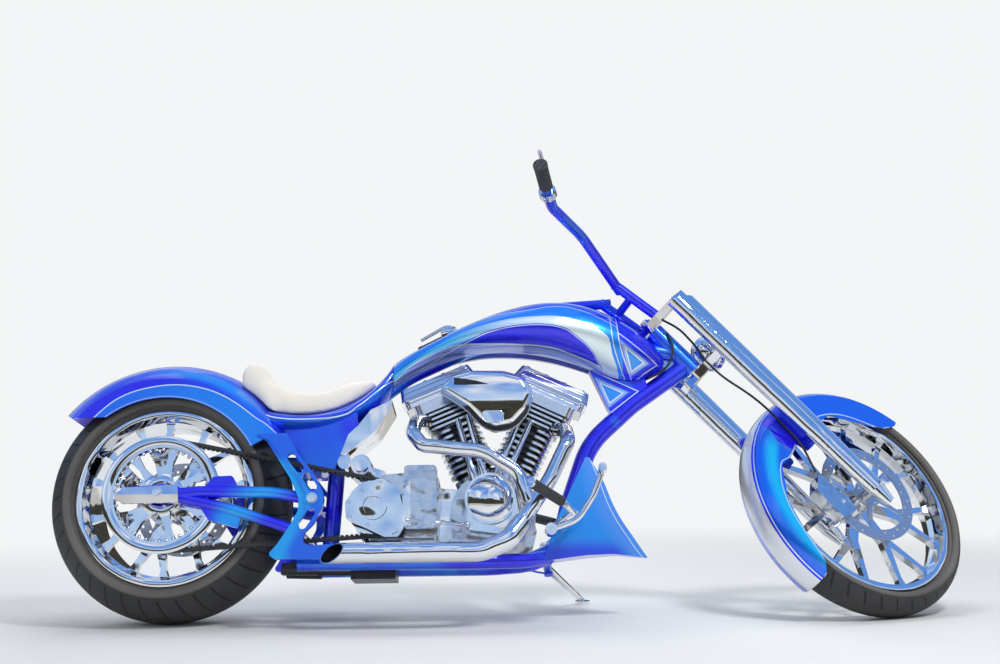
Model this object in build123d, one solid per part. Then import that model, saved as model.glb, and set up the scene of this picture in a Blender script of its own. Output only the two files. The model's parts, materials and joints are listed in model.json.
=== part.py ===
from build123d import *
from functools import cache
import math
import os

# A long, raked chopper with a wide rear tyre, a stretched tank and a narrow, tall front wheel.
# Bike frame while modelling: X forward from the rear axle, Y to the left, Z up, floor at Z = 0,
# millimetres and degrees. At the end the bike leans onto its side stand.

# Stance
LEAN = 10.9
STEER = 33.3
RAKE = 43.4
NECK_X = 1529
NECK_Z = 822
FORK_OFFSET = 72
FIT = 0.3
RUN = 0.05

# Rear wheel
REAR_TYRE_R = 359
REAR_CROWN_R = 188
REAR_TREAD_W = 276
REAR_TYRE_W = 290
REAR_RIM_R = 261
REAR_RIM_W = 252
REAR_SPOKES = 7
REAR_ROOT_W = 40
REAR_ARM_W = 18
REAR_SPREAD = 84
PULLEY_R = 160
BELT_W = 26
BELT_T = 9
BELT_Y = -163
FLANGE_R = 172

# Front wheel
FRONT_TYRE_R = 369
FRONT_CROWN_R = 75
FRONT_TREAD_W = 112
FRONT_TYRE_W = 124
FRONT_RIM_R = 311
FRONT_RIM_W = 92
FRONT_SPOKES = 7
FRONT_ROOT_W = 34
FRONT_ARM_W = 17
FRONT_DISC_R = 160
FRONT_DISC_Y = -70
DISC_T = 5
DISC_HOLES = 16
DISC_HOLE_R = 4.5
TYRE_WALL = 13
LIP_W = 8
SPLIT_AT = 0.42
FOOT_RUN = 30
FOOT_W = 7
SEAT_DROP = 12
BEAD_T = 7

# Axles and hubs
AXLE_R = 12
HUB_R = 36
FRONT_HUB_Y = 56
REAR_HUB_RIGHT = 140
REAR_HUB_LEFT = 118
REAR_DISC_Y = 143
REAR_DISC_R = 146
COLLAR_R = 20

# Frame tubes
NECK_R = 31
NECK_UP = 78
NECK_DOWN = 95
STEM_R = 14
DOWN_TUBE_R = 28
BACKBONE_R = 25
RAIL_R = 22
RAIL_Y = 105
RAIL_Z = 162
PLATE_Y = 219
PLATE_T = 20
PIVOT_X = 446
PIVOT_Z = 334
PIVOT_R = 14
FIN_HALF = 52
ARM_R = 17
ARM_Y = 202
OIL_TANK_HALF = 100
TANK_SLOT_GAP = 3

# Engine
ENGINE_X = 964
ENGINE_Z = 305
REAR_LEAN = 22.5
FRONT_LEAN = 25.5
BARREL_R = 66
FIN_R = 72
BARREL_FROM = 135
HEAD_FROM = 300
HEAD_BLOCK = 358
HEAD_TO = 391
HEAD_RIBS = 4
ROCKER_TO = 458
ROCKER_HALF = 122
HEAD_HALF = 92
HEAD_DEPTH = 78
FINS = 8
FIN_FLAT = 60
DOME_R = 67

# Gearbox
GEARBOX_X = 617
GEARBOX_Z = 315
DRIVE_PULLEY_R = 78

# Exhaust
PIPE_R = 22
MUFFLER_R = 29
MUFFLER_Y = -270

# Fork
LEG_Y = 125
LEG_AHEAD = 52
LEG_TOP = 100
LEG_TIP = 60
UPPER_CLAMP_AT = 84
LOWER_CLAMP_AT = -102
CLAMP_T = 24
BAR_R = 16
GRIP_R = 19
FENDER_R = 390
FENDER_T = 5
FENDER_HALF = 75
FENDER_FROM = 12
FENDER_ARC = 177
FENDER_SHOULDER_R = 354
HOSE_R = 3.5

# Rear fender
REAR_FENDER_R = 418
REAR_SKIRT_R = 290
REAR_SHOULDER_R = 347.6
REAR_FENDER_HALF = 170

# Side stand
STAND_X = 1131
STAND_Y = 100
STAND_Z = 158
STAND_FOOT_X = 1255
STAND_FOOT_Y = 400
STAND_SOLE = 10
STAND_KNUCKLE = 28
STAND_BOLT_R = 6
STAND_FOLDED = (-0.96, 0.207, -0.192)

BASE = (Align.CENTER, Align.CENTER, Align.MIN)


def rod(start, end, radius):
    """A round bar from start to end."""
    run = Vector(*end) - Vector(*start)
    return Plane(origin=start, z_dir=run) * Cylinder(radius, run.length, align=BASE)


def pipe(points, radii, radius):
    """A bent tube, as a round bar along straight runs joined by tangent arcs."""
    path = FilletPolyline(*points, radius=radii)
    return sweep(Plane(origin=path @ 0, z_dir=path % 0) * Circle(radius), path=path)


def hose_bends(points):
    """The largest arcs that a hose's route takes, each on its shorter run."""
    bends = []
    for before, here, after in zip(points, points[1:], points[2:]):
        back = Vector(*here) - Vector(*before)
        ahead = Vector(*after) - Vector(*here)
        turn = math.radians(back.get_angle(ahead))
        bends.append(0.45 * min(back.length, ahead.length) / math.tan(turn / 2))
    return bends


def polygon(points, radii=0):
    """A closed outline with rounded corners."""
    return make_face(FilletPolyline(*points, radius=radii, close=True))


def slab(outline, y_from, y_to):
    """An outline in X and Z, as thick as the way from y_from to y_to."""
    low = min(y_from, y_to)
    plane = Plane(origin=(0, max(y_from, y_to), 0), x_dir=(1, 0, 0), z_dir=(0, -1, 0))
    return extrude(plane * outline, amount=max(y_from, y_to) - low)


def sheet_down(outline, z_from, z_to):
    """An outline in X and Y, as thick as the way from z_from to z_to."""
    return extrude(Pos(0, 0, min(z_from, z_to)) * outline, amount=abs(z_to - z_from))


def turned(outline, centre_x=0, centre_z=0, start=0, arc=360):
    """An outline in radius and Y, turned about a sideways axle; start and arc as seen from the right."""
    face = Pos(centre_x, 0, centre_z) * outline
    axle = Axis((centre_x, 0, centre_z), (0, -1, 0))
    if start:
        face = face.rotate(axle, start)
    return revolve(face, axis=axle, revolution_arc=arc)


def spin(shape, angle, centre_x=0, centre_z=0):
    """A copy of a shape, turned about the sideways axle at a centre."""
    return shape.rotate(Axis((centre_x, 0, centre_z), (0, -1, 0)), angle)


def disc(radius, y_from, y_to, centre_x=0, centre_z=0):
    """A flat round piece on a sideways axle."""
    return rod((centre_x, y_from, centre_z), (centre_x, y_to, centre_z), radius)


def cap(radius, height):
    """Part of a ball over a round base, rising along Z."""
    ball_r = (radius ** 2 + height ** 2) / (2 * height)
    return (Pos(0, 0, height - ball_r) * Sphere(ball_r)) & Cylinder(radius, height, align=BASE)


def mirrored(shape):
    """The same shape on the other side of the bike."""
    return mirror(shape, about=Plane.XZ)


def joined(shapes):
    """Several shapes fused, or side by side where they don't touch."""
    result = shapes[0]
    for shape in shapes[1:]:
        result = result + shape
    return result


# Wheels


def tyre(outer_r, crown_r, tread_w, tyre_w, rim_r, rim_w):
    """A hollow tyre whose two beads sit on the rim inside its lips."""
    half = tread_w / 2
    shoulder = outer_r - crown_r + math.sqrt(crown_r ** 2 - half ** 2)
    bead = rim_w / 2 - LIP_W - FIT
    seat_r = rim_r - SEAT_DROP + FIT
    wall = ((shoulder + rim_r) / 2, tyre_w / 2)
    foot = (rim_r + TYRE_WALL, rim_w / 2 - 2)
    inner = (shoulder - TYRE_WALL, half - TYRE_WALL)
    inner_foot = (rim_r + TYRE_WALL, bead - BEAD_T)
    edges = [ThreePointArc((shoulder, -half), (outer_r, 0), (shoulder, half))]
    edges.append(ThreePointArc(inner, (outer_r - TYRE_WALL, 0), (inner[0], -inner[1])))
    for side in (1, -1):
        corners = [(foot[0], side * foot[1]), (rim_r + FIT, side * bead), (seat_r, side * bead),
                   (seat_r, side * (bead - BEAD_T)), (inner_foot[0], side * inner_foot[1]),
                   (inner[0], side * inner[1])]
        edges.append(ThreePointArc((shoulder, side * half), (wall[0], side * wall[1]), corners[0]))
        edges = edges + [Line(start, end) for start, end in zip(corners, corners[1:])]
    return turned(make_face(edges))


def rim_barrel(rim_r, rim_w, wall, well):
    """A rim's barrel: a lip and a bead seat at each side and a well between."""
    half = rim_w / 2
    seat = rim_r - SEAT_DROP
    points = [
        (rim_r - 18, -half), (rim_r, -half), (rim_r, LIP_W - half), (seat, LIP_W - half), (seat, 26 - half),
        (rim_r - well, 38 - half), (rim_r - well, half - 38), (seat, half - 26), (seat, half - LIP_W),
        (rim_r, half - LIP_W), (rim_r, half), (rim_r - 18, half),
        (rim_r - well - wall, half - 34), (rim_r - well - wall, 34 - half),
    ]
    return turned(polygon(points))


def split_spoke(inner_r, outer_r, root_w, arm_w, spread, depth):
    """One flat spoke that forks into two arms, each with a wide foot at the rim."""
    fork_r = inner_r + (outer_r - inner_r) * SPLIT_AT
    near_r = outer_r - FOOT_RUN
    outside = spread / 2 + arm_w
    lean = (outside - root_w / 2) * FOOT_RUN / (outer_r - fork_r)
    outline = [(inner_r, -root_w / 2), (fork_r, -root_w / 2), (near_r, lean - outside),
               (outer_r, -outside - FOOT_W), (outer_r, FOOT_W - spread / 2), (near_r, lean - spread / 2),
               (fork_r + arm_w * 1.5, 0)]
    outline = outline + [(x, -y) for x, y in reversed(outline[:-1])]
    return slab(polygon(outline), -depth / 2, depth / 2)


def front_rim():
    barrel = rim_barrel(FRONT_RIM_R, FRONT_RIM_W, 7, 22)
    reach = FRONT_RIM_R - 26
    step = 360 / FRONT_SPOKES
    spread = math.pi * reach / FRONT_SPOKES - FRONT_ARM_W
    spoke = split_spoke(HUB_R - 4, reach, FRONT_ROOT_W, FRONT_ARM_W, spread, 20)
    hub = disc(HUB_R, -FRONT_HUB_Y, FRONT_HUB_Y) - disc(AXLE_R + RUN, -60, 60)
    spokes = [spin(spoke, step * number) for number in range(FRONT_SPOKES)]
    return joined([barrel, hub] + spokes)


def brake_disc(radius, y, hole_r, band, bolt_r):
    """A drilled disc on a five-armed carrier."""
    ring = disc(radius, y - DISC_T / 2, y + DISC_T / 2) - disc(radius - band, y - 9, y + 9)
    arm = slab(polygon([(bolt_r, -9), (radius - band + 2, -5), (radius - band + 2, 5), (bolt_r, 9)]),
               y - 2, y + 2)
    carrier = disc(bolt_r + 4, y - DISC_T / 2, y + DISC_T / 2)
    arms = [spin(arm, 72 * number) for number in range(5)]
    step = 360 / DISC_HOLES
    holes = []
    for row, at in enumerate((radius - band * 0.32, radius - band * 0.7)):
        hole = disc(DISC_HOLE_R, y - DISC_T, y + DISC_T, at, 0)
        holes = holes + [spin(hole, step * (number + row / 2)) for number in range(DISC_HOLES)]
    return joined([ring, carrier] + arms) - disc(hole_r, y - 12, y + 12) - holes


def front_disc():
    spacer = disc(HUB_R - 6, FRONT_DISC_Y + 2, -FRONT_HUB_Y) - disc(AXLE_R + RUN, -100, 100)
    return brake_disc(FRONT_DISC_R, FRONT_DISC_Y, AXLE_R + RUN, 34, 40) + spacer


def rear_rim():
    """A deep rim with petal spokes set back from the right lip."""
    barrel = rim_barrel(REAR_RIM_R, REAR_RIM_W, 8, 24)
    reach = REAR_RIM_R - 28
    spoke = split_spoke(HUB_R - 4, reach, REAR_ROOT_W, REAR_ARM_W, REAR_SPREAD, 26)
    hub = disc(HUB_R + 8, -REAR_HUB_RIGHT, REAR_HUB_LEFT) - disc(AXLE_R + RUN, -150, 150)
    step = 360 / REAR_SPOKES
    spokes = [Pos(0, -62, 0) * spin(spoke, step * number) for number in range(REAR_SPOKES)]
    return joined([barrel, hub] + spokes)


def rear_pulley():
    """The belt's ring with its guide lip and its seven arms."""
    inner_y = BELT_Y + BELT_W / 2 + 3
    outer_y = BELT_Y - BELT_W / 2 - 1
    ring = disc(PULLEY_R - FIT, inner_y, outer_y) - disc(PULLEY_R - 22, inner_y + 1, outer_y - 1)
    lip = disc(PULLEY_R + 6, inner_y + 1, inner_y - 2) - disc(PULLEY_R - 10, inner_y + 2, inner_y - 4)
    arm = slab(polygon([(44, -17), (96, -8), (PULLEY_R - 20, -16), (PULLEY_R - 20, 16), (96, 8), (44, 17)]),
               inner_y - 4, outer_y + 6)
    step = 360 / REAR_SPOKES
    arms = [spin(arm, step * number + step / 2) for number in range(REAR_SPOKES)]
    centre = disc(52, -REAR_HUB_RIGHT, outer_y + 2)
    flange = disc(FLANGE_R, outer_y, outer_y - 3) - disc(FLANGE_R - 26, outer_y + 1, outer_y - 4)
    return joined([ring, lip, centre, flange] + arms) - disc(AXLE_R + RUN, -220, 0)


def rear_disc():
    spacer = disc(HUB_R, REAR_HUB_LEFT, REAR_DISC_Y - 2) - disc(AXLE_R + RUN, 100, 160)
    return brake_disc(REAR_DISC_R, REAR_DISC_Y, AXLE_R + RUN, 36, 46) + spacer


# Frame


def neck_plane():
    """The steering head: its own Z runs up the steering axis and its X runs forward."""
    rake = math.radians(RAKE)
    ahead = (math.cos(rake), 0, math.sin(rake))
    up = (-math.sin(rake), 0, math.cos(rake))
    return Plane(origin=(NECK_X, 0, NECK_Z), x_dir=ahead, z_dir=up)


def neck_tube(radius):
    return neck_plane() * (Pos(0, 0, -NECK_DOWN) * Cylinder(radius, NECK_UP + NECK_DOWN, align=BASE))


DOWN_PATH = [(1577, 0, 771), (1395, 0, 645), (1262, 0, 525), (1196, 0, 340), (1162, 0, 205), (1070, 0, 166)]
DOWN_BENDS = [300, 240, 400, 70]
WEB = [(1268, 752), (1322, 632), (1345, 600), (1450, 680), (1440, 724), (1330, 770)]
WEB_HALF = 22
BACKBONE_BENDS = [400, 400, 400, 120]
BACKBONE_PATH = [(NECK_X - 6, 0, 806), (1200, 0, 862), (930, 0, 845), (700, 0, 740), (500, 0, 580),
                 (474, 0, 190)]


@cache
def backbone():
    """Neck tube, backbone over the engine and the post down behind the gearbox."""
    tube = pipe(BACKBONE_PATH, BACKBONE_BENDS, BACKBONE_R)
    bore = neck_plane() * Cylinder(STEM_R + RUN, 400)
    return (tube + neck_tube(NECK_R)) - bore


@cache
def down_tube():
    """The single front tube and the web that braces it under the tank."""
    tube = pipe(DOWN_PATH, DOWN_BENDS, DOWN_TUBE_R)
    web = slab(polygon(WEB), -WEB_HALF, WEB_HALF)
    swing = neck_plane() * Pos(0, 0, -NECK_DOWN - 60) * Cylinder(64, 60, align=BASE)
    return (tube + web) - neck_tube(NECK_R) - pipe(BACKBONE_PATH, BACKBONE_BENDS, BACKBONE_R) - swing


@cache
def lower_rails():
    """Two rails under the engine, with the cross tubes that carry plates, gearbox and post."""
    path = [(392, -RAIL_Y, RAIL_Z), (960, -RAIL_Y, RAIL_Z), (1060, -70, RAIL_Z + 4), (1130, -12, RAIL_Z + 20)]
    rail = pipe(path, [200, 120], RAIL_R)
    cross = rod((470, -PLATE_Y, 180), (470, PLATE_Y, 180), 18)
    pivot = rod((PIVOT_X, -PLATE_Y, PIVOT_Z), (PIVOT_X, PLATE_Y, PIVOT_Z), PIVOT_R)
    post_foot = rod((556, -RAIL_Y, RAIL_Z), (556, RAIL_Y, RAIL_Z), 20)
    front = rod((1050, -70, RAIL_Z + 4), (1050, 70, RAIL_Z + 4), 14)
    rails = joined([rail, mirrored(rail), cross, pivot, post_foot, front, stand_mount()])
    return rails - down_tube() - backbone()


PLATE_OUTER = [
    (270, 522), (369, 524), (403, 465), (450, 404), (478, 350), (478, 310), (453, 262), (426, 235),
    (422, 204), (445, 200), (554, 204), (554, 160), (343, 162), (324, 176), (412, 272), (430, 303),
    (430, 344), (405, 395), (319, 503),
]
PLATE_OUTER_R = [3, 10, 40, 40, 30, 30, 20, 14, 14, 8, 4, 4, 8, 8, 30, 30, 30, 30, 8]
PLATE_INNER = [
    (270, 522), (369, 524), (403, 465), (450, 404), (478, 350), (478, 310), (453, 262), (426, 235),
    (422, 204), (445, 200), (554, 204), (554, 160), (343, 162), (328, 174), (385, 262), (405, 300),
    (406, 336), (380, 395), (310, 503),
]
PLATE_SLOTS = [((384, 452), (409, 420)), ((428, 396), (447, 366)), ((443, 292), (420, 258))]


def side_plate():
    """The right boomerang plate: a wide back layer, a narrower face layer and three slots."""
    middle = -PLATE_Y - PLATE_T / 2
    back = slab(polygon(PLATE_INNER, PLATE_OUTER_R), -PLATE_Y, middle)
    face = slab(polygon(PLATE_OUTER, PLATE_OUTER_R), middle, -PLATE_Y - PLATE_T)
    plate = back + face
    for start, end in PLATE_SLOTS:
        for point in (start, end):
            plate = plate - disc(12, -PLATE_Y + 1, -PLATE_Y - PLATE_T - 1, *point)
        run = Vector(end[0] - start[0], end[1] - start[1])
        across = Vector(-run.Y, run.X).normalized() * 12
        corners = [
            (start[0] + across.X, start[1] + across.Y), (end[0] + across.X, end[1] + across.Y),
            (end[0] - across.X, end[1] - across.Y), (start[0] - across.X, start[1] - across.Y),
        ]
        plate = plate - slab(polygon(corners), -PLATE_Y + 1, -PLATE_Y - PLATE_T - 1)
    ear = slab(polygon([(312, 522), (362, 521), (370, 505), (318, 505)]), -PLATE_Y, -150)
    cap = disc(20, -PLATE_Y - PLATE_T, -PLATE_Y - PLATE_T - 4, PIVOT_X, PIVOT_Z)
    return plate + ear + cap


@cache
def belly_fin():
    """The shark fin that sweeps forward from the foot of the down tube."""
    outline = [(1250, 486), (1296, 414), (1335, 312), (1428, 176), (1325, 187), (1240, 182), (1110, 166),
               (1160, 300)]
    fin = slab(polygon(outline, [8, 240, 400, 2, 200, 60, 3, 3]), -FIN_HALF, FIN_HALF)
    taper = sheet_down(polygon([(1100, -FIN_HALF), (1240, -FIN_HALF), (1430, -4), (1430, 4), (1240, FIN_HALF),
                                (1100, FIN_HALF)]), 100, 500)
    return (fin & taper) - pipe(DOWN_PATH, DOWN_BENDS, DOWN_TUBE_R) - lower_rails()


@cache
def swingarm():
    """Two bent arms each side, ending in the pivot boss and the lower cross tube."""
    upper = pipe([(40, -ARM_Y, 355), (120, -ARM_Y, 362), (330, -ARM_Y, 357), (PIVOT_X, -ARM_Y, PIVOT_Z)],
                 [300, 300], ARM_R)
    lower = pipe([(60, -ARM_Y, 345), (200, -ARM_Y, 313), (395, -ARM_Y, 248)], [500], ARM_R - 1)
    boss = disc(30, -PLATE_Y + FIT, -ARM_Y + ARM_R, PIVOT_X, PIVOT_Z)
    gusset = slab(polygon([(130, 375), (157, 405), (210, 407), (230, 372)], [4, 10, 10, 4]), -ARM_Y - 6,
                  -ARM_Y + 6)
    bracket = slab(polygon([(112, 330), (146, 279), (233, 254), (241, 300)], [4, 10, 6, 4]), -ARM_Y - 6,
                   -ARM_Y + 6)
    dropout = slab(polygon([(-70, 335), (-70, 378), (60, 381), (60, 328)], 6), -ARM_Y - ARM_R, -ARM_Y + ARM_R)
    side = joined([upper, lower, boss, gusset, bracket, dropout])
    side = side - disc(PIVOT_R, -400, 400, PIVOT_X, PIVOT_Z) - disc(AXLE_R, -400, 400, 0, REAR_TYRE_R)
    cross = rod((395, -ARM_Y, 248), (395, ARM_Y, 248), 13)
    ear = slab(polygon([(376, 248), (404, 245), (350, 142), (316, 144)], [8, 8, 8, 8]), 40, 48)
    ears = [Pos(0, shift, 0) * ear for shift in (0, 22, -88, -110)]
    return joined([side, mirrored(side), cross] + ears)


def axle_covers():
    """The long pointed covers over the rear axle's ends."""
    outline = polygon([(-122, 346), (-100, 372), (58, 380), (62, 328), (-100, 326)], [4, 10, 3, 3, 10])
    cover = slab(outline, -ARM_Y - ARM_R, -ARM_Y - ARM_R - 10)
    return cover + mirrored(cover)


def rear_axle():
    """The axle with the collars that space the wheel from the arms."""
    reach = ARM_Y + ARM_R - FIT
    inner = ARM_Y - ARM_R
    pulley_face = BELT_Y - BELT_W / 2 + 1 - FIT
    bolt = disc(AXLE_R, -reach, reach, 0, REAR_TYRE_R)
    right = disc(COLLAR_R, -inner, pulley_face, 0, REAR_TYRE_R)
    left = disc(COLLAR_R, REAR_DISC_Y + DISC_T / 2 + FIT, inner, 0, REAR_TYRE_R)
    return joined([bolt, right, left])


# Bodywork


def fender_section(outer_r, shoulder, skirt_r, half, thick):
    """Half a tunnel in radius and Y: a crown arc on two straight skirts."""
    edges = [
        Line((skirt_r, -half), (shoulder, -half)),
        ThreePointArc((shoulder, -half), (outer_r, 0), (shoulder, half)),
        Line((shoulder, half), (skirt_r, half)),
        Line((skirt_r, half), (skirt_r, half - thick)),
        Line((skirt_r, half - thick), (shoulder, half - thick)),
        ThreePointArc((shoulder, half - thick), (outer_r - thick, 0), (shoulder, thick - half)),
        Line((shoulder, thick - half), (skirt_r, thick - half)),
        Line((skirt_r, thick - half), (skirt_r, -half)),
    ]
    return make_face(edges)


def fender_plug(outer_r, shoulder, half):
    """The same outer form without its hollow, to clear what lies under the fender's skin."""
    edges = [
        Line((60, -half), (shoulder, -half)),
        ThreePointArc((shoulder, -half), (outer_r, 0), (shoulder, half)),
        Line((shoulder, half), (60, half)),
        Line((60, half), (60, -half)),
    ]
    return make_face(edges)


def rear_fender():
    section = fender_section(REAR_FENDER_R, REAR_SHOULDER_R, REAR_SKIRT_R, REAR_FENDER_HALF, FENDER_T)
    ring = turned(section, 0, REAR_TYRE_R, 29, 118)
    tail = slab(polygon([(-600, 655), (-326, 624), (-276, 590), (-150, 592), (-150, 200), (-600, 200)]),
                -250, 250)
    return ring - tail


def rear_fender_space():
    return turned(fender_plug(REAR_FENDER_R + FIT, REAR_SHOULDER_R, REAR_FENDER_HALF + FIT), 0, REAR_TYRE_R)


def egg(x, low, middle, high, half):
    """A smooth cross-section: two half ellipses that meet at the widest line."""
    top = EllipticalCenterArc((0, middle), half, high - middle, 0, arc_size=180)
    bottom = EllipticalCenterArc((0, middle), half, middle - low, 180, arc_size=180)
    face = make_face([top, bottom])
    return Plane(origin=(x, 0, 0), x_dir=(0, -1, 0), z_dir=(-1, 0, 0)) * face


# x, lowest, widest at, highest, half width
TANK_SECTIONS = [
    (665, 695, 735, 778, 62),
    (760, 752, 795, 834, 95),
    (900, 800, 848, 902, 124),
    (1050, 806, 866, 956, 144),
    (1200, 776, 862, 968, 150),
    (1330, 728, 836, 930, 128),
    (1440, 722, 792, 862, 80),
    (1490, 748, 774, 816, 38),
    (1514, 758, 768, 786, 12),
]


@cache
def fuel_tank():
    """The stretched tank, open below where it sits over the backbone."""
    skin = loft([egg(*row) for row in TANK_SECTIONS])
    grip = BACKBONE_R + FIT
    roof = pipe(BACKBONE_PATH, BACKBONE_BENDS, grip)
    under = [(point[0], point[2]) for point in BACKBONE_PATH[:5]]
    slot_half = grip + TANK_SLOT_GAP
    slot = slab(polygon(under + [(600, 500), (1600, 500), (1600, 780)]), -slot_half, slot_half)
    swing = neck_plane() * Pos(0, 0, UPPER_CLAMP_AT - 6) * Cylinder(58, 90, align=BASE)
    return skin - roof - slot - neck_tube(NECK_R + 6) - swing


SHELL_SECTIONS = [
    (180, 560, 610, 660, 140),
    (320, 548, 590, 628, 134),
    (450, 556, 590, 624, 124),
    (560, 590, 630, 668, 104),
    (663, 695, 734, 777, 62),
]


def seat_shell():
    """The painted base that runs from the tank's tail under the seat to the fender."""
    skin = loft([egg(*row) for row in SHELL_SECTIONS])
    post = pipe(BACKBONE_PATH, BACKBONE_BENDS, BACKBONE_R + FIT)
    return skin - rear_fender_space() - post


def seat_side():
    return polygon(
        [(196, 640), (205, 752), (240, 776), (276, 766), (305, 700), (381, 671), (450, 679), (533, 714),
         (602, 734), (618, 716), (560, 600), (320, 560)],
        [10, 30, 20, 25, 40, 80, 60, 60, 8, 6, 20, 20])


def seat():
    """A plain closed form of the sprung pad and its kicked-up back."""
    side = slab(seat_side(), -150, 150)
    plan = polygon([(190, -112), (300, -126), (420, -116), (540, -84), (616, -44), (616, 44), (540, 84),
                    (420, 116), (300, 126), (190, 112)], [30, 80, 80, 80, 30, 30, 80, 80, 80, 30])
    pad = side & sheet_down(plan, 500, 800)
    base = loft([egg(*row) for row in SHELL_SECTIONS])
    over = pad - rear_fender_space() - base - pipe(BACKBONE_PATH, BACKBONE_BENDS, BACKBONE_R + FIT)
    return over.solids().sort_by(SortBy.VOLUME)[-1]


@cache
def oil_tank():
    """The tank under the seat, hollowed at the back for the wheel."""
    side = polygon([(280, 575), (440, 586), (560, 612), (562, 572), (534, 546), (510, 484), (494, 436),
                    (396, 438)],
                   [6, 6, 4, 20, 20, 30, 8, 8])
    box = slab(side, -OIL_TANK_HALF, OIL_TANK_HALF)
    shell = loft([egg(*row) for row in SHELL_SECTIONS])
    post = pipe(BACKBONE_PATH, BACKBONE_BENDS, BACKBONE_R + FIT)
    return box - rear_fender_space() - shell - post


def oil_tank_shield():
    """The polished leaf that covers the oil tank's front, up to the seat shell."""
    leaf = polygon([(664, 650), (600, 620), (562, 572), (534, 546), (510, 484), (520, 482), (560, 512),
                    (616, 556),
                    (664, 634)], [2, 4, 20, 20, 2, 4, 40, 60, 2])
    shell = loft([egg(*row) for row in SHELL_SECTIONS])
    post = pipe(BACKBONE_PATH, BACKBONE_BENDS, BACKBONE_R + FIT)
    return slab(leaf, -OIL_TANK_HALF, OIL_TANK_HALF) - shell - post - oil_tank() - fuel_tank()


# Engine


def stack(lean):
    """The frame of one cylinder: Z runs up its bore from the crankshaft."""
    angle = math.radians(lean)
    return Plane(origin=(ENGINE_X, 0, ENGINE_Z), x_dir=(math.cos(angle), 0, -math.sin(angle)),
                 z_dir=(math.sin(angle), 0, math.cos(angle)))


@cache
def cylinder(lean):
    """A finned barrel and a finned head on one bore line."""
    barrel = Pos(0, 0, BARREL_FROM) * Cylinder(BARREL_R - 12, HEAD_FROM - BARREL_FROM, align=BASE)
    step = (HEAD_FROM - BARREL_FROM - 10) / FINS
    fin = extrude(Circle(FIN_R) & Rectangle(2 * FIN_R, 2 * FIN_FLAT), amount=step * 0.42)
    fins = [Pos(0, 0, BARREL_FROM + 14 + step * n) * fin for n in range(FINS)]
    core = Pos(0, 0, HEAD_FROM) * Box(HEAD_HALF * 1.6, HEAD_DEPTH * 1.6, HEAD_TO - HEAD_FROM, align=BASE)
    block = extrude(RectangleRounded(HEAD_HALF * 2, HEAD_DEPTH * 2, 22), amount=HEAD_TO - HEAD_BLOCK)
    ribs = [Pos(0, 0, HEAD_BLOCK) * block]
    rib_step = (HEAD_BLOCK - HEAD_FROM) / HEAD_RIBS
    for number in range(HEAD_RIBS):
        half = HEAD_HALF - 4 * (HEAD_RIBS - number)
        plate = extrude(RectangleRounded(half * 2, HEAD_DEPTH * 2, 22), amount=rib_step * 0.45)
        ribs.append(Pos(0, 0, HEAD_FROM + rib_step * number + 2) * plate)
    side = 1 if lean > 0 else -1
    own_side = stack((FRONT_LEAN - REAR_LEAN) / 2) * Pos(side * (300 + FIT), 0, 0) * Box(600, 400, 1200)
    return (stack(lean) * joined([barrel, core] + fins + ribs)) & own_side


def rocker_box(lean):
    """The two-step rocker cover on top of one head."""
    depth = 2 * HEAD_DEPTH
    rise = ROCKER_TO - HEAD_TO
    lower = extrude(RectangleRounded(2 * ROCKER_HALF - 16, depth - 16, 16), amount=rise * 0.4)
    upper = loft([
        Pos(0, 0, rise * 0.4) * RectangleRounded(2 * ROCKER_HALF, depth - 6, 20),
        Pos(0, 0, rise) * RectangleRounded(2 * ROCKER_HALF - 20, depth - 44, 20),
    ])
    return stack(lean) * (Pos(0, 0, HEAD_TO) * (lower + upper))


def rocker_boxes():
    return rocker_box(-REAR_LEAN) + rocker_box(FRONT_LEAN)


@cache
def crankcase():
    """The case halves round the flywheels, with the cam chest on the right."""
    wheel_room = disc(128, -62, 70, ENGINE_X, ENGINE_Z)
    foot = slab(polygon([(850, 190), (1078, 190), (1094, 250), (1070, 400), (870, 400), (840, 250)], 12),
                -62, 70)
    chest = slab(polygon([(883, 240), (884, 385), (917, 410), (982, 414), (1038, 390), (1063, 350),
                          (1055, 300),
                          (1000, 222)], 14), -62, -118)
    decks = [stack(lean) * (Pos(0, 0, 90) * Cylinder(FIN_R - 6, BARREL_FROM - 90,
             align=BASE)) for lean in (-REAR_LEAN, FRONT_LEAN)]
    feet = slab(polygon([(850, RAIL_Z + 22), (1040, RAIL_Z + 22), (1040, 200), (850, 200)]), -100, 100)
    case = joined([wheel_room, foot, chest, feet] + decks)
    return case - lower_rails() - down_tube() - cylinder(-REAR_LEAN) - cylinder(FRONT_LEAN)


def cam_cover():
    """The polished cover with its stepped dome."""
    plate = slab(polygon([(889, 250), (889, 380), (917, 404), (982, 408), (1034, 386), (1057, 350),
                          (1050, 305),
                          (992, 236)], 14), -118, -148)
    step = disc(DOME_R + 8, -148, -156, 956, 340)
    dome = Plane(origin=(956, -156, 340), z_dir=(0, -1, 0)) * cap(DOME_R, 24)
    return joined([plate, step, dome])


def pushrod_tubes():
    """Four tubes from the tappet blocks to the rocker boxes, on the right side."""
    tubes = []
    for lean, low_x, toward in ((-REAR_LEAN, 912, 1), (FRONT_LEAN, 1000, -1)):
        plane = stack(lean)
        for number in range(2):
            top = plane.from_local_coords((toward * (14 + 34 * number), -FIN_FLAT - 12, HEAD_FROM + 6))
            low = (low_x + toward * 30 * number, -92, 400)
            tube = rod(low, tuple(top), 9)
            foot = rod(low, tuple(Vector(*low) + (Vector(*top) - Vector(*low)).normalized() * 46), 14)
            tubes = tubes + [tube, foot]
    return joined(tubes) - crankcase() - cylinder(-REAR_LEAN) - cylinder(FRONT_LEAN)


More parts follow.
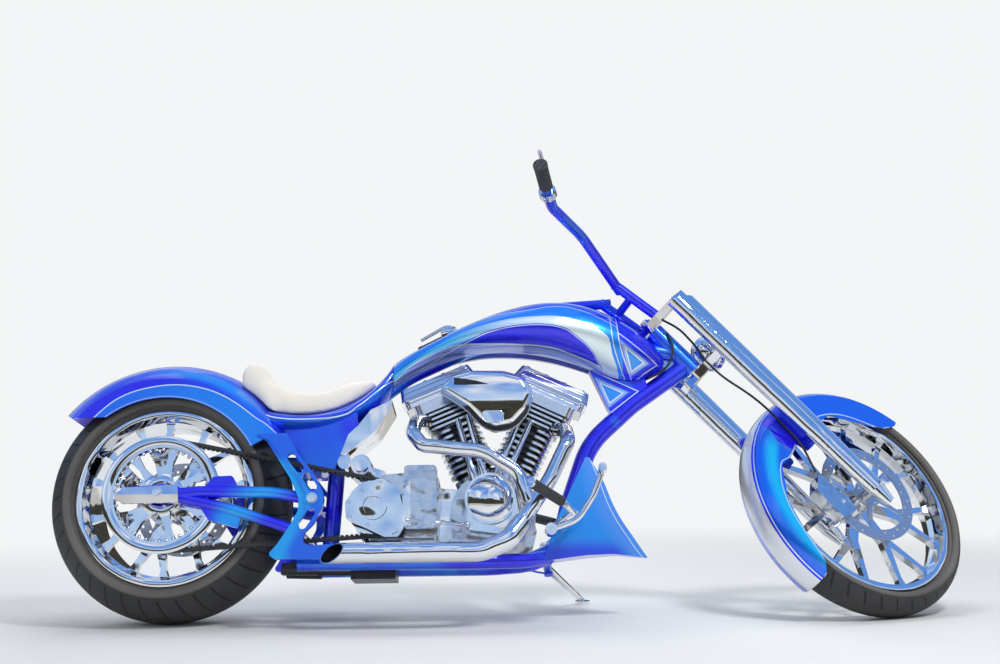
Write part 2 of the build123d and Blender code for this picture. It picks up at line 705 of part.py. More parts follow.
def air_cleaner():
    """The teardrop cover between the cylinders."""
    points = [(807, 664), (842, 708), (900, 724), (1000, 722), (1062, 704), (1088, 655), (1069, 594),
              (1030, 552),
              (970, 540), (925, 566), (890, 606)]
    outline = polygon(points, [14, 50, 50, 60, 40, 40, 40, 40, 26, 40, 60])
    cover = slab(outline, -118, -176)
    return fillet(cover.edges().group_by(Axis.Y)[0], 22)


def carburettor():
    """The intake stub behind the air cleaner and the manifold between the heads."""
    body = disc(34, -118, -40, 962, 610)
    manifold = rod((900, -20, 612), (1030, -20, 612), 20)
    neck = rod((962, -60, 610), (962, -10, 612), 24)
    intake = joined([body, neck, manifold]) - cylinder(-REAR_LEAN) - cylinder(FRONT_LEAN)
    return intake.solids().sort_by(SortBy.VOLUME)[-1]


# Exhaust


FRONT_PIPE = [(1150, -60, 560), (1184, -110, 548), (1186, -196, 500), (1130, -216, 386), (1062, -222, 284),
              (1030, -236, 236)]
REAR_PIPE = [(770, -60, 590), (738, -110, 580), (730, -196, 528), (760, -214, 488), (940, -216, 468),
             (1040, -218, 400), (1064, -220, 320)]
MUFFLER_Z = 173
MUFFLER_END = 600
TIP_END = 472
TIP_BORE_R = 24
MUFFLER = [(1048, -230, 262), (1004, MUFFLER_Y + 10, 204), (930, MUFFLER_Y, MUFFLER_Z),
           (MUFFLER_END, MUFFLER_Y, MUFFLER_Z)]


@cache
def exhaust_front():
    """The front header and the long muffler that it flares into."""
    header = pipe(FRONT_PIPE, [26, 44, 200, 200], PIPE_R)
    muffler = pipe(MUFFLER, [60, 120], MUFFLER_R)
    hanger = rod((700, MUFFLER_Y, 172), (700, -RAIL_Y - 10, RAIL_Z), 9)
    return header + muffler + (hanger - lower_rails()) - cylinder(FRONT_LEAN)


def exhaust_rear():
    """The rear header, which loops round the rear cylinder and joins the front one."""
    header = pipe(REAR_PIPE, [24, 40, 26, 120, 60], PIPE_R - 1)
    return header - exhaust_front() - cylinder(-REAR_LEAN)


def muffler_tip():
    """The open end, cut so that it faces outward and up."""
    end = rod((MUFFLER_END, MUFFLER_Y, MUFFLER_Z), (TIP_END, MUFFLER_Y, MUFFLER_Z), MUFFLER_R)
    bore = rod((MUFFLER_END - 12, MUFFLER_Y, MUFFLER_Z), (TIP_END - 40, MUFFLER_Y, MUFFLER_Z), TIP_BORE_R)
    cut = Plane(origin=(TIP_END + 36, MUFFLER_Y, MUFFLER_Z), z_dir=(-1, -1.1, 0.6))
    return (end - bore) - cut * Cylinder(200, 200, align=BASE)


# Gearbox, primary and drive


@cache
def transmission():
    """The gearbox case, with the end caps that show behind the belt cover."""
    case = slab(polygon([(590, 232), (800, 232), (806, 410), (760, 430), (640, 420), (590, 360)], 16),
                -112, 100)
    caps = disc(42, -112, -183, 752, 318) + slab(polygon([(704, 392), (800, 392), (800, 440), (704, 440)],
                                                         12),
                                                 -112, -160)
    door = slab(polygon([(704, 250), (800, 250), (800, 396), (704, 396)], 14), -112, -183)
    saddle = slab(polygon([(600, RAIL_Z - 4), (790, RAIL_Z - 4), (790, 240), (600, 240)]), -82, 82)
    post = pipe(BACKBONE_PATH, BACKBONE_BENDS, BACKBONE_R + FIT)
    return joined([case, caps, door, saddle]) - lower_rails() - post


def belt_cover():
    """The polished cover over the drive pulley, with its keyhole rib."""
    outline = polygon([(706, 300), (690, 368), (640, 398), (578, 372), (536, 330), (540, 276), (600, 250),
                       (650, 226),
                       (690, 226), (712, 262)], [30, 40, 30, 30, 20, 20, 20, 8, 8, 20])
    plate = slab(outline, -185, -201)
    ring = disc(40, -201, -208, GEARBOX_X, GEARBOX_Z) - disc(28, -195, -212, GEARBOX_X, GEARBOX_Z)
    rib = slab(polygon([(640, 280), (654, 290), (688, 240), (672, 232)]), -201, -208)
    rim = slab(polygon([(704, 255), (724, 262), (724, 385), (700, 360)]), -183, -185)
    return joined([plate, ring, rib, rim])


def drive_pulley():
    wheel = disc(DRIVE_PULLEY_R - FIT, BELT_Y + BELT_W / 2 + 2, BELT_Y - BELT_W / 2 - 1, GEARBOX_X, GEARBOX_Z)
    shaft = disc(24, -112, BELT_Y + BELT_W / 2 + 2, GEARBOX_X, GEARBOX_Z)
    return wheel + shaft


def belt_loop(near_r, far_r):
    """The belt's side outline: two arcs joined by their outer tangents."""
    dx = GEARBOX_X
    dz = GEARBOX_Z - REAR_TYRE_R
    gap = math.hypot(dx, dz)
    tilt = math.degrees(math.atan2(dz, dx))
    lean = math.degrees(math.asin((near_r - far_r) / gap))
    rear = Vector(0, REAR_TYRE_R)
    front = Vector(GEARBOX_X, GEARBOX_Z)

    def point(centre, radius, angle):
        turn = math.radians(angle)
        return (centre.X + radius * math.cos(turn), centre.Y + radius * math.sin(turn))

    top = tilt + 90 - lean
    low = tilt - 90 + lean
    return make_face([
        ThreePointArc(point(rear, near_r, top), point(rear, near_r, tilt + 180), point(rear, near_r, low)),
        Line(point(rear, near_r, low), point(front, far_r, low)),
        ThreePointArc(point(front, far_r, low), point(front, far_r, tilt), point(front, far_r, top)),
        Line(point(front, far_r, top), point(rear, near_r, top)),
    ])


def drive_belt():
    outer = slab(belt_loop(PULLEY_R + BELT_T, DRIVE_PULLEY_R + BELT_T), BELT_Y - BELT_W / 2,
                 BELT_Y + BELT_W / 2)
    inner = slab(belt_loop(PULLEY_R + FIT, DRIVE_PULLEY_R + FIT), BELT_Y - BELT_W, BELT_Y + BELT_W)
    return outer - inner


def starter_motor():
    body = disc(30, -128, 96, 575, 449)
    nose = disc(22, -128, -140, 575, 449)
    solenoid = disc(21, -132, 40, 527, 456)
    saddle = slab(polygon([(527, 440), (600, 376), (650, 400), (640, 440), (590, 456)], 4), -60, 60)
    return joined([body, nose, solenoid, saddle]) - transmission() - backbone()


def primary_cover():
    """The long polished case on the left, over clutch and engine sprocket."""
    ends = disc(104, 104, 168, 640, 320) + disc(92, 104, 168, ENGINE_X, ENGINE_Z)
    waist = slab(polygon([(640, 216), (640, 424), (ENGINE_X, 397), (ENGINE_X, 213)]), 104, 168)
    clutch = disc(70, 168, 182, 640, 320)
    neck = disc(60, 70, 104, ENGINE_X, ENGINE_Z)
    clutch_neck = disc(50, 100, 104, 700, 320)
    return joined([ends, waist, clutch, neck, clutch_neck])


# Under the frame


@cache
def shock_absorbers():
    """Two lying dampers between swingarm and gearbox cross tube."""
    pair = []
    for y in (-56, 56):
        rear_eye = disc(11, y - 7, y + 7, 332, 154)
        body = rod((340, y, 154), (446, y, 151), 20)
        front_rod = rod((440, y, 151), (556, y, 149), 9)
        pair = pair + [rear_eye, body, front_rod]
    return joined(pair) - lower_rails() - swingarm()


def electrics_box():
    """The black box between the rails."""
    box = Pos(610, 0, RAIL_Z - 24) * Box(132, 150, 40)
    return box - lower_rails() - transmission() - shock_absorbers()


CABLE = [(1512, -30, 868), (1528, -44, 826), (1524, -48, 790), (1508, -47, 757), (1482, -42, 737),
         (1448, -36, 722)]


def neck_cable():
    """The thin black cable that loops down the neck and under the tank's nose."""
    return pipe(CABLE, hose_bends(CABLE), HOSE_R) - backbone() - fuel_tank() - down_tube()


PEG_FROM = (1166, -230, 314)
PEG_TO = (1068, -345, 357)
PEG_R = 15
PEG_CORE_R = 8


def peg_rod(start, end, radius):
    """A round piece over part of the right peg's length."""
    near = Vector(*PEG_FROM)
    run = Vector(*PEG_TO) - near
    return rod(tuple(near + run * start), tuple(near + run * end), radius)


def peg_rubbers():
    """The rubber sleeves on both pegs."""
    sleeve = peg_rod(0.06, 0.955, PEG_R) - peg_rod(-0.1, 1.1, PEG_CORE_R + RUN)
    return sleeve + mirrored(sleeve)


@cache
def foot_control():
    """The right forward control: mount, rubber peg, and pedal with its toe ring."""
    mount = pipe([(1172, -30, 262), (1186, -120, 270), (1196, -206, 286)], [60], 14)
    peg_arm = rod((1196, -200, 286), PEG_FROM, 10)
    peg = peg_rod(0, 1, PEG_CORE_R) + peg_rod(0.96, 1, PEG_R)
    boss = rod((1128, -200, 236), (1128, -262, 236), 17)
    link = rod((1128, -210, 236), (1190, -206, 284), 11)
    lever = pipe([(1128, -250, 236), (1205, -250, 262), (1250, -252, 330), (1278, -254, 400)], [80, 100], 9)
    toe = rod((1278, -254, 400), (1274, -320, 402), 12)
    return joined([mount, peg_arm, peg, boss, link, lever, toe]) - down_tube() - belly_fin()


def rear_caliper():
    """The brake caliper over the rear disc, hung from the left arm."""
    body = slab(polygon([(70, 400), (120, 372), (150, 400), (140, 440), (96, 470), (66, 440)], 10), 128, 160)
    groove = disc(152, 138, 148, 0, REAR_TYRE_R)
    hanger = slab(polygon([(110, 368), (150, 368), (150, 410), (110, 410)]), 158, ARM_Y + 4)
    return joined([body - groove, hanger]) - swingarm()


def tail_lamp():
    """A slim lamp let into the fender's tail."""
    ring = turned(fender_plug(REAR_FENDER_R + 6, REAR_FENDER_R - 27, 60), 0, REAR_TYRE_R, 134, 5)
    hollow = turned(fender_plug(REAR_FENDER_R + FIT, REAR_SHOULDER_R, REAR_FENDER_HALF), 0, REAR_TYRE_R)
    return ring - hollow


# Steered parts, in the steering head's own frame: X forward, Y left, Z up the steering axis


@cache
def leg(side):
    """One tapering fork leg of oval section."""
    rows = [(-FORK_LENGTH - LEG_TIP, 18, 13), (-FORK_LENGTH, 32, 22), (-FORK_LENGTH + 230, 39, 26),
            (-FORK_LENGTH + 530, 43, 28), (LEG_TOP, 45, 29)]
    solid = loft([Pos(LEG_AHEAD, side * LEG_Y, z) * Ellipse(a, b) for z, a, b in rows], ruled=True)
    slash = slab(polygon([(0, LEG_TOP + 6), (120, LEG_TOP - 50), (120, LEG_TOP + 60), (0, LEG_TOP + 60)]),
                 -200, 200)
    return solid - slash


def clamp(z, waist, back):
    """A fork clamp between the legs, with its hub on the stem."""
    outline = polygon([(-back, -28), (-back, 28), (-10, 60), (LEG_AHEAD - 30, LEG_Y + 4),
                       (LEG_AHEAD + 40, LEG_Y + 4),
                       (LEG_AHEAD - 4, 50), (waist, 0), (LEG_AHEAD - 4, -50), (LEG_AHEAD + 40, -LEG_Y - 4),
                       (LEG_AHEAD - 30, -LEG_Y - 4), (-10, -60)],
                      [14, 14, 30, 4, 4, 40, 60, 40, 4, 4, 30])
    plate = sheet_down(outline, z, z + CLAMP_T)
    return plate - leg(1) - leg(-1)


@cache
def upper_clamp():
    hub = Pos(0, 0, UPPER_CLAMP_AT + CLAMP_T) * Cylinder(20, 10, align=BASE)
    plate = clamp(UPPER_CLAMP_AT, 46, 30) + hub
    return plate - Cylinder(STEM_R, 800)


@cache
def lower_clamp():
    """The lower clamp and the stem that turns in the neck."""
    top = UPPER_CLAMP_AT + CLAMP_T + 6
    plate = clamp(LOWER_CLAMP_AT - CLAMP_T, 50, 40)
    stem = Pos(0, 0, LOWER_CLAMP_AT) * Cylinder(STEM_R, top - LOWER_CLAMP_AT, align=BASE)
    return plate + stem


BAR_POINTS = [(8, -47, 122), (-22, -48, 258), (-126, -186, 415), (-263, -304, 503), (-299, -371, 538)]
GRIP_END = (-342, -449, 573)


@cache
def handlebar():
    """Two risers that flow into swept-back bars."""
    corner = Vector(*BAR_POINTS[1])
    sweep_run = (Vector(*BAR_POINTS[2]) - corner).normalized()
    riser_run = (corner - Vector(*BAR_POINTS[0])).normalized()
    riser = rod((12, -47, UPPER_CLAMP_AT + CLAMP_T - 4), tuple(corner + riser_run * 10), BAR_R)
    bar = pipe([tuple(corner - sweep_run * 26)] + BAR_POINTS[2:] + [GRIP_END], [200, 90, 200], BAR_R)
    brace = rod((-8, -47, 200), (-8, 47, 200), BAR_R - 3)
    return joined([riser, bar, mirrored(riser), mirrored(bar), brace]) - upper_clamp()


def grip_line():
    return Vector(*BAR_POINTS[-1]), (Vector(*GRIP_END) - Vector(*BAR_POINTS[-1])).normalized()


def grips():
    """The rubber grips with their end caps."""
    start, run = grip_line()
    sleeve = rod(tuple(start + run * 8), tuple(start + run * 96), GRIP_R + 1)
    cap = rod(tuple(start + run * 96), tuple(start + run * 106), GRIP_R + 2)
    grip = joined([sleeve, cap]) - rod(tuple(start - run * 20), GRIP_END, BAR_R + 0.02)
    return grip + mirrored(grip)


@cache
def bar_control():
    """The right master cylinder and lever."""
    start, run = grip_line()
    at = start - run * 22
    clamp_ring = rod(tuple(at - run * 12), tuple(at + run * 12), BAR_R + 9) - rod(
        tuple(at - run * 30), tuple(at + run * 30), BAR_R + 0.05)
    ahead = Vector(0.75, 0, 0.66)
    body = rod(tuple(at + ahead * 26), tuple(at + ahead * 40 + run * 46), 13)
    lever = pipe([tuple(at + ahead * 34), tuple(at + ahead * 60 + run * 30),
                  tuple(at + ahead * 52 + run * 130)],
                 [40], 6)
    return joined([clamp_ring, body, lever]) - handlebar()


def bar_controls():
    return bar_control() + mirrored(bar_control())


@cache
def headlamp():
    """A small bullet lamp on the lower clamp."""
    shell = turned_lamp()
    post = rod((LEG_AHEAD - 14, 0, LOWER_CLAMP_AT - 12), (LEG_AHEAD + 40, 0, LOWER_CLAMP_AT + 10), 12)
    return (shell + post) - lower_clamp()


def turned_lamp():
    """The bullet: a rounded back, a bezel and a domed lens, facing forward and a little down."""
    bullet = mirror(cap(52, 50), about=Plane.XY) + Cylinder(52, 24, align=BASE)
    bezel = Pos(0, 0, 24) * Cylinder(57, 14, align=BASE)
    lens = Pos(0, 0, 38) * cap(50, 12)
    facing = Plane(origin=(LEG_AHEAD + 56, 0, LOWER_CLAMP_AT + 24), z_dir=(0.727, 0, -0.687))
    return facing * joined([bullet, bezel, lens])


# angle and radius about the front axle, along the fender's lower edge from its front end to its rear one
FENDER_EDGE = [(8, 380), (16, 304), (28, 274), (60, 279), (92, 270), (108, 262), (118, 272), (127, 304),
               (150, 319), (168, 324), (181, 338), (189, 372), (196, 380)]


def front_fender():
    """A tunnel over the wheel whose skirts are cut to the edge in the table."""
    deep = min(radius for angle, radius in FENDER_EDGE) - 20
    section = fender_section(FENDER_R, FENDER_SHOULDER_R, deep, FENDER_HALF, 4)
    ring = turned(section, FORK_OFFSET, -FORK_LENGTH, FENDER_FROM, FENDER_ARC)
    edge = []
    for angle, radius in FENDER_EDGE:
        turn = math.radians(angle)
        edge.append((FORK_OFFSET + radius * math.cos(turn), radius * math.sin(turn) - FORK_LENGTH))
    under = polygon(edge + [(FORK_OFFSET, -FORK_LENGTH - 200)], 14)
    return ring - slab(under, -FENDER_HALF - 20, FENDER_HALF + 20)


def fender_brackets():
    """Plates that carry the fender from the fork legs."""
    plate = slab(polygon([(FORK_OFFSET - 60, -FORK_LENGTH + 215), (FORK_OFFSET + 40, -FORK_LENGTH + 215),
                          (FORK_OFFSET + 30, -FORK_LENGTH + 345), (FORK_OFFSET - 110,
                                                                   -FORK_LENGTH + 345)], 12),
                 -FENDER_HALF - FIT, -FENDER_HALF - 5)
    boss = disc(12, -FENDER_HALF - 5, -FENDER_HALF - 30, LEG_AHEAD - 6, -FORK_LENGTH + 240)
    bracket = joined([plate, boss]) - leg(-1)
    return bracket + mirrored(bracket)


@cache
def front_caliper():
    """The caliper behind the right leg, over the disc's rear edge."""
    cx, cz = FORK_OFFSET, -FORK_LENGTH
    body = slab(polygon([(cx - 180, cz + 10), (cx - 110, cz - 6), (cx - 96, cz + 90), (cx - 120, cz + 150),
                         (cx - 176, cz + 120)], 14), FRONT_DISC_Y - 24, FRONT_DISC_Y + 18)
    groove = disc(FRONT_DISC_R + 6, FRONT_DISC_Y - 8, FRONT_DISC_Y + 8, cx, cz)
    lug = slab(polygon([(cx - 110, cz + 60), (cx - 10, cz + 70), (cx - 10, cz + 110),
                        (cx - 110, cz + 120)], 8),
               FRONT_DISC_Y - 12, FRONT_DISC_Y - 26)
    return joined([body - groove, lug]) - leg(-1)


def front_axle():
    """The axle between the legs, with the collars that centre the wheel."""
    inner = LEG_Y - 10
    bolt = disc(AXLE_R, -inner, inner, FORK_OFFSET, -FORK_LENGTH)
    left = disc(COLLAR_R - 2, FRONT_HUB_Y + FIT, inner, FORK_OFFSET, -FORK_LENGTH)
    right = disc(COLLAR_R - 2, FRONT_DISC_Y - DISC_T / 2 - FIT, -inner, FORK_OFFSET, -FORK_LENGTH)
    return joined([bolt, left, right])


HOSE = [(30, -34, UPPER_CLAMP_AT + 6), (44, -46, 30), (20, -62, -46), (-4, -68, -92), (-12, -74, -170),
        (16, -84, -300), (6, -88, -480), (-40, -84, -570)]


def brake_hose():
    """The front brake line, from the upper clamp down behind the right leg to the caliper."""
    line = pipe(HOSE, hose_bends(HOSE), HOSE_R)
    return line - upper_clamp() - lower_clamp() - leg(-1) - front_caliper() - headlamp()


# Fork length, from the floor under the leaning, steered front tyre


def lowest(centre_z, outer_r, crown_r, axle_z):
    """Height of a leaning tyre's lowest point."""
    return centre_z - (outer_r - crown_r) * math.sqrt(1 - axle_z ** 2) - crown_r


def solve_fork_length():
    lean, steer, rake = (math.radians(angle) for angle in (LEAN, STEER, RAKE))
    floor = lowest(REAR_TYRE_R * math.cos(lean), REAR_TYRE_R, REAR_CROWN_R, math.sin(lean))
    axle_z = -math.cos(steer) * math.sin(lean) - math.sin(rake) * math.sin(steer) * math.cos(lean)
    centre = floor + (FRONT_TYRE_R - FRONT_CROWN_R) * math.sqrt(1 - axle_z ** 2) + FRONT_CROWN_R
    side = FORK_OFFSET * math.sin(steer)
    upright = (centre + side * math.sin(lean)) / math.cos(lean)
    reach = NECK_Z + FORK_OFFSET * math.cos(steer) * math.sin(rake) - upright
    return floor, reach / math.cos(rake)


LIFT_DROP, FORK_LENGTH = solve_fork_length()


def fork_place():
    """From the steering head's own frame to the upright bike."""
    return neck_plane().location * Rot(0, 0, STEER)


def lean_over():
    """From the upright bike to the parked one, with both tyres on the floor."""
    return Pos(0, 0, -LIFT_DROP) * Rot(-LEAN, 0, 0)


def rear_tyre():
    shape = tyre(REAR_TYRE_R, REAR_CROWN_R, REAR_TREAD_W, REAR_TYRE_W, REAR_RIM_R, REAR_RIM_W)
    return Pos(0, 0, REAR_TYRE_R) * shape


def front_tyre():
    shape = tyre(FRONT_TYRE_R, FRONT_CROWN_R, FRONT_TREAD_W, FRONT_TYRE_W, FRONT_RIM_R, FRONT_RIM_W)
    return Pos(FORK_OFFSET, 0, -FORK_LENGTH) * shape


@cache
def middle():
    """The middle of the parked bike's box, from the pieces that reach its sides."""
    outer = [lean_over() * shape for shape in (rear_tyre(), side_stand(), exhaust_front(), foot_control())]
    turned_pieces = [front_tyre(), grips(), bar_controls(), handlebar()]
    outer = outer + [lean_over() * fork_place() * shape for shape in turned_pieces]
    return Compound(children=outer).bounding_box().center()


def stance():
    """From the upright bike to the parked one, with its origin under the middle of its box."""
    return Pos(-middle().X, -middle().Y, 0) * lean_over()


def steered():
    """From the steering head's own frame to the parked bike."""
    return stance() * fork_place()


# Side stand


def stand_lines():
    """Where the leg points when it is down and when it is folded, and the axis it turns about."""
    pivot = Vector(STAND_X, STAND_Y, STAND_Z)
    foot = Vector(*(lean_over().inverse() * Pos(STAND_FOOT_X, STAND_FOOT_Y, STAND_SOLE)).position)
    down = (foot - pivot).normalized()
    folded = Vector(*STAND_FOLDED).normalized()
    return pivot, foot, down, folded, down.cross(folded).normalized()


def stand_mount():
    """The clevis on the left lower rail that holds the stand's bolt."""
    pivot, foot, down, folded, axis = stand_lines()
    ear = axis * (STAND_KNUCKLE / 2 + RUN)
    thick = axis * 7
    arm = Vector(STAND_X - 62, RAIL_Y - 46, RAIL_Z + 4)
    pieces = [rod(tuple(pivot - ear - thick), tuple(pivot + ear + thick), STAND_BOLT_R)]
    for way in (1, -1):
        near = pivot + ear * way
        far = near + thick * way
        pieces.append(rod(tuple(near), tuple(far), 14))
        pieces.append(rod(tuple(arm + (ear + thick * 0.5) * way), tuple((near + far) * 0.5), 3))
    return joined(pieces)


@cache
def side_stand():
    """The leg with its knuckle and its foot."""
    pivot, foot, down, folded, axis = stand_lines()
    half = axis * (STAND_KNUCKLE / 2)
    knuckle = rod(tuple(pivot - half), tuple(pivot + half), 13)
    shaft = Plane(origin=pivot + down * 6, z_dir=down) * Cone(13, 8, (foot - pivot).length - 6, align=BASE)
    sole = lean_over().inverse() * Pos(STAND_FOOT_X, STAND_FOOT_Y, STAND_SOLE / 2) * Cylinder(24, STAND_SOLE)
    bore = rod(tuple(pivot - half * 2), tuple(pivot + half * 2), STAND_BOLT_R + RUN)
    return joined([knuckle, shaft, sole]) - bore


def chassis_nodes():
    plate = side_plate()
    pedals = foot_control()
    return {
        "frame_backbone": backbone(),
        "frame_down_tube": down_tube(),
        "frame_lower_rails": lower_rails(),
        "side_plates": plate + mirrored(plate),
        "belly_fin": belly_fin(),
        "swingarm": swingarm(),
        "axle_covers": axle_covers(),
        "rear_axle": rear_axle(),
        "rear_fender": rear_fender(),
        "tail_lamp": tail_lamp(),
        "fuel_tank": fuel_tank(),
        "seat_shell": seat_shell(),
        "seat": seat(),
        "oil_tank": oil_tank(),
        "oil_tank_shield": oil_tank_shield(),
        "crankcase": crankcase(),
        "cam_cover": cam_cover(),
        "cylinder_rear": cylinder(-REAR_LEAN),
        "cylinder_front": cylinder(FRONT_LEAN),
        "rocker_boxes": rocker_boxes(),
        "pushrod_tubes": pushrod_tubes(),
        "air_cleaner": air_cleaner(),
        "carburettor": carburettor(),
        "exhaust_front": exhaust_front(),
        "exhaust_rear": exhaust_rear(),
        "muffler_tip": muffler_tip(),
        "transmission": transmission(),
        "belt_cover": belt_cover(),
        "drive_pulley": drive_pulley(),
        "drive_belt": drive_belt(),
        "starter_motor": starter_motor(),
        "primary_cover": primary_cover(),
        "shock_absorbers": shock_absorbers(),
        "electrics_box": electrics_box(),
        "foot_controls": pedals + mirrored(pedals),
        "peg_rubbers": peg_rubbers(),
        "neck_cable": neck_cable(),
        "rear_caliper": rear_caliper(),
    }


def rear_wheel_nodes():
    axle = Pos(0, 0, REAR_TYRE_R)
    return {
        "rear_tyre": rear_tyre(),
        "rear_rim": axle * rear_rim(),
        "rear_pulley": axle * rear_pulley(),
        "rear_disc": axle * rear_disc(),
    }


def fork_nodes():
    return {
        "upper_clamp": upper_clamp(),
        "lower_clamp": lower_clamp(),
        "fork_legs": (leg(-1) + leg(1)) - front_axle(),
        "handlebar": handlebar(),
        "grips": grips(),
        "bar_controls": bar_controls(),
        "headlamp": headlamp(),
        "front_fender": front_fender(),
        "fender_brackets": fender_brackets(),
        "front_caliper": front_caliper(),
        "front_axle": front_axle(),
        "brake_hose": brake_hose(),
    }


def front_wheel_nodes():
    axle = Pos(FORK_OFFSET, 0, -FORK_LENGTH)
    return {
        "front_tyre": front_tyre(),
        "front_rim": axle * front_rim(),
        "front_disc": axle * front_disc(),
    }


def placed():
    """Every node, in its parked place."""
    nodes = {}
    for group, place in (
        (chassis_nodes(), stance()), (rear_wheel_nodes(), stance()),
        (fork_nodes(), steered()), (front_wheel_nodes(), steered()),
        ({"side_stand": side_stand()}, stance()),
    ):
        for name, shape in group.items():
            nodes[name] = place * shape
    return nodes


def main():
    os.makedirs("parts", exist_ok=True)
    for name, shape in placed().items():
        export_step(shape, f"parts/{name}.step")


if __name__ == "__main__":
    main()
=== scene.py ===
"""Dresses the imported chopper: paint, chrome, rubber, leather, small parts, a studio and a camera."""
import json
import math

import bmesh
import bpy
from mathutils import Matrix, Vector


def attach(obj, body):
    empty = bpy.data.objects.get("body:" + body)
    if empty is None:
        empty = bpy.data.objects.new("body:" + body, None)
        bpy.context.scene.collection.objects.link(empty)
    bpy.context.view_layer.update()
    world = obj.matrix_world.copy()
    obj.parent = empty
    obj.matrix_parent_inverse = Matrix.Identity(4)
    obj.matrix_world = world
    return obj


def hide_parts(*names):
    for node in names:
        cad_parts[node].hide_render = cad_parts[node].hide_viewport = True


bl_info = {
    "name": "Chopper dressing",
    "version": (1, 0, 0),
    "blender": (4, 5, 0),
    "location": "View3D > Sidebar > Chopper",
    "description": "Gives a packed chopper its paint, metal, rubber, leather and small parts",
    "category": "Object",
}

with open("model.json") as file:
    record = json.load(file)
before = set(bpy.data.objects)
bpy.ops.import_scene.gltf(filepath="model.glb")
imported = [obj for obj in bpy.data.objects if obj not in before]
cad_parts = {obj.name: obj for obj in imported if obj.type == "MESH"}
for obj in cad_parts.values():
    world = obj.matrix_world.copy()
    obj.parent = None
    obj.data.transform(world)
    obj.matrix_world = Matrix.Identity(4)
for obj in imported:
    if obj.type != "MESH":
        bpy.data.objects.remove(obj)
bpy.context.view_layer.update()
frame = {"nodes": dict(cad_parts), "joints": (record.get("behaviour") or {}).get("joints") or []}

# The camera, in pixels, metres and degrees
IMAGE_W = 1000
CAMERA_FOCAL_PX = 1398.7
CAMERA_FROM_REAR_AXLE = (0.938, -4.269885, 0.190485)
CAMERA_YAW = -0.727
CAMERA_PITCH = 4.268
CAMERA_ROLL = 0.653
SENSOR = 36.0

# Places on the upright bike, in metres
REAR_TYRE_R = 0.359
ENGINE_X = 0.964
ENGINE_Z = 0.305
FIN_REACH = 0.061
BARREL_TOP = 0.3
HEAD_TOP = 0.358
TANK_NOSE_X = 1.366
COVER_CREASE_Z = 0.352
AIR_CLEANER_X = 0.95
AIR_CLEANER_Z = 0.652
AIR_CLEANER_FACE_Y = -0.1725
MUFFLER_Y = -0.27
MUFFLER_Z = 0.173
MUFFLER_BORE_R = 0.0255
# Radius of the painted highlight on the rear fender
REAR_HIGHLIGHT_R = 0.372
REAR_EDGE_LINE_R = 0.2935
REAR_CROWN_LINE_Y = 0.098
# Radius of the painted highlight on the front fender
FRONT_HIGHLIGHT_R = 0.338
FRONT_CROWN_HALF = 0.033
# The cylinders' leans, in degrees
REAR_LEAN = -22.5
FRONT_LEAN = 25.5

# Belt run, in millimetres
BELT_Y = -163
BELT_HALF = 13
REAR_PULLEY_R = 160
DRIVE_PULLEY_R = 78
GEARBOX_X = 617
GEARBOX_Z = 315
TOOTH_PITCH = 14
TOOTH_H = 4

# Lines painted on the tank, as X and Z of the upright bike in millimetres
TANK_PIN = [(625, 739), (668, 769), (761, 833), (854, 883), (954, 922), (1065, 947), (1148, 955), (1231, 945),
            (1285, 925), (1355, 872)]
AZURE_TOP = [(625, 733), (668, 762), (761, 824), (854, 872), (954, 906), (1080, 921), (1174, 934), (1240, 919),
             (1299, 893), (1343, 870)]
SWOOSH_TOP = [(620, 705), (671, 740), (790, 811), (888, 858), (1008, 888), (1096, 895), (1172, 894), (1237, 877),
              (1280, 859), (1318, 833), (1332, 783), (1352, 738), (1364, 690)]
SWOOSH_LOW = [(620, 682), (672, 717), (790, 779), (899, 831), (975, 858), (1051, 869), (1116, 870), (1170, 862),
              (1224, 833), (1266, 799), (1298, 757), (1345, 712), (1364, 684)]
ROYAL_LOW = [(620, 690), (672, 722), (720, 760), (790, 793), (871, 817), (952, 822), (1061, 819), (1142, 809),
             (1211, 788), (1297, 752), (1364, 690)]
STRIPE_LOW = [(629, 665), (683, 711), (763, 746), (844, 776), (952, 789), (1033, 791), (1114, 784), (1195, 764),
              (1275, 729), (1328, 701), (1381, 670), (1423, 648)]
NOSE_TRIANGLE = [(1356, 824), (1388, 722), (1447, 761)]
WEB_TRIANGLE = [(1283, 731), (1324, 635), (1386, 682)]
SHELL_PIN = [(211, 689), (241, 647), (288, 602), (328, 591), (414, 588), (505, 598), (562, 631), (614, 678),
             (665, 719)]
# The nose panel's and the belly fin's front edges, as Z and X
NOSE_EDGE = [(640, 1440), (699, 1409), (759, 1373), (821, 1354), (875, 1350), (930, 1350)]
FIN_EDGE = [(170, 1436), (176, 1428), (229, 1388), (321, 1332), (414, 1297), (480, 1270)]
# The fenders' lines, as angle and radius about the wheel's axle, in degrees and millimetres
REAR_PIN = [(26, 380), (36, 360), (44, 345), (67, 336), (83, 330), (97, 325), (115, 322), (131, 313), (150, 308)]
FRONT_EDGE = [(8, 380), (16, 304), (28, 274), (60, 279), (92, 270), (108, 262), (118, 272), (127, 304), (150, 319),
              (168, 324), (181, 338), (189, 372)]

# Fixed colours
# Cyan of the painted highlights on the candy tubes and the swingarm
HIGHLIGHT_CYAN = (0.0, 0.45, 0.95)
PLATING = (0.84, 0.85, 0.87)
POLISH = (0.88, 0.89, 0.91)
POLISH_DIM = (0.66, 0.67, 0.69)
ALUMINIUM = (0.8, 0.81, 0.82)
FENDER_SILVER = (0.78, 0.79, 0.82)

# Frames of the bike's moving groups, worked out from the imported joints


def joint(name):
    """A packed joint by its name."""
    for row in frame["joints"]:
        if row["name"] == name:
            return row
    raise RuntimeError(f"no joint named {name}")


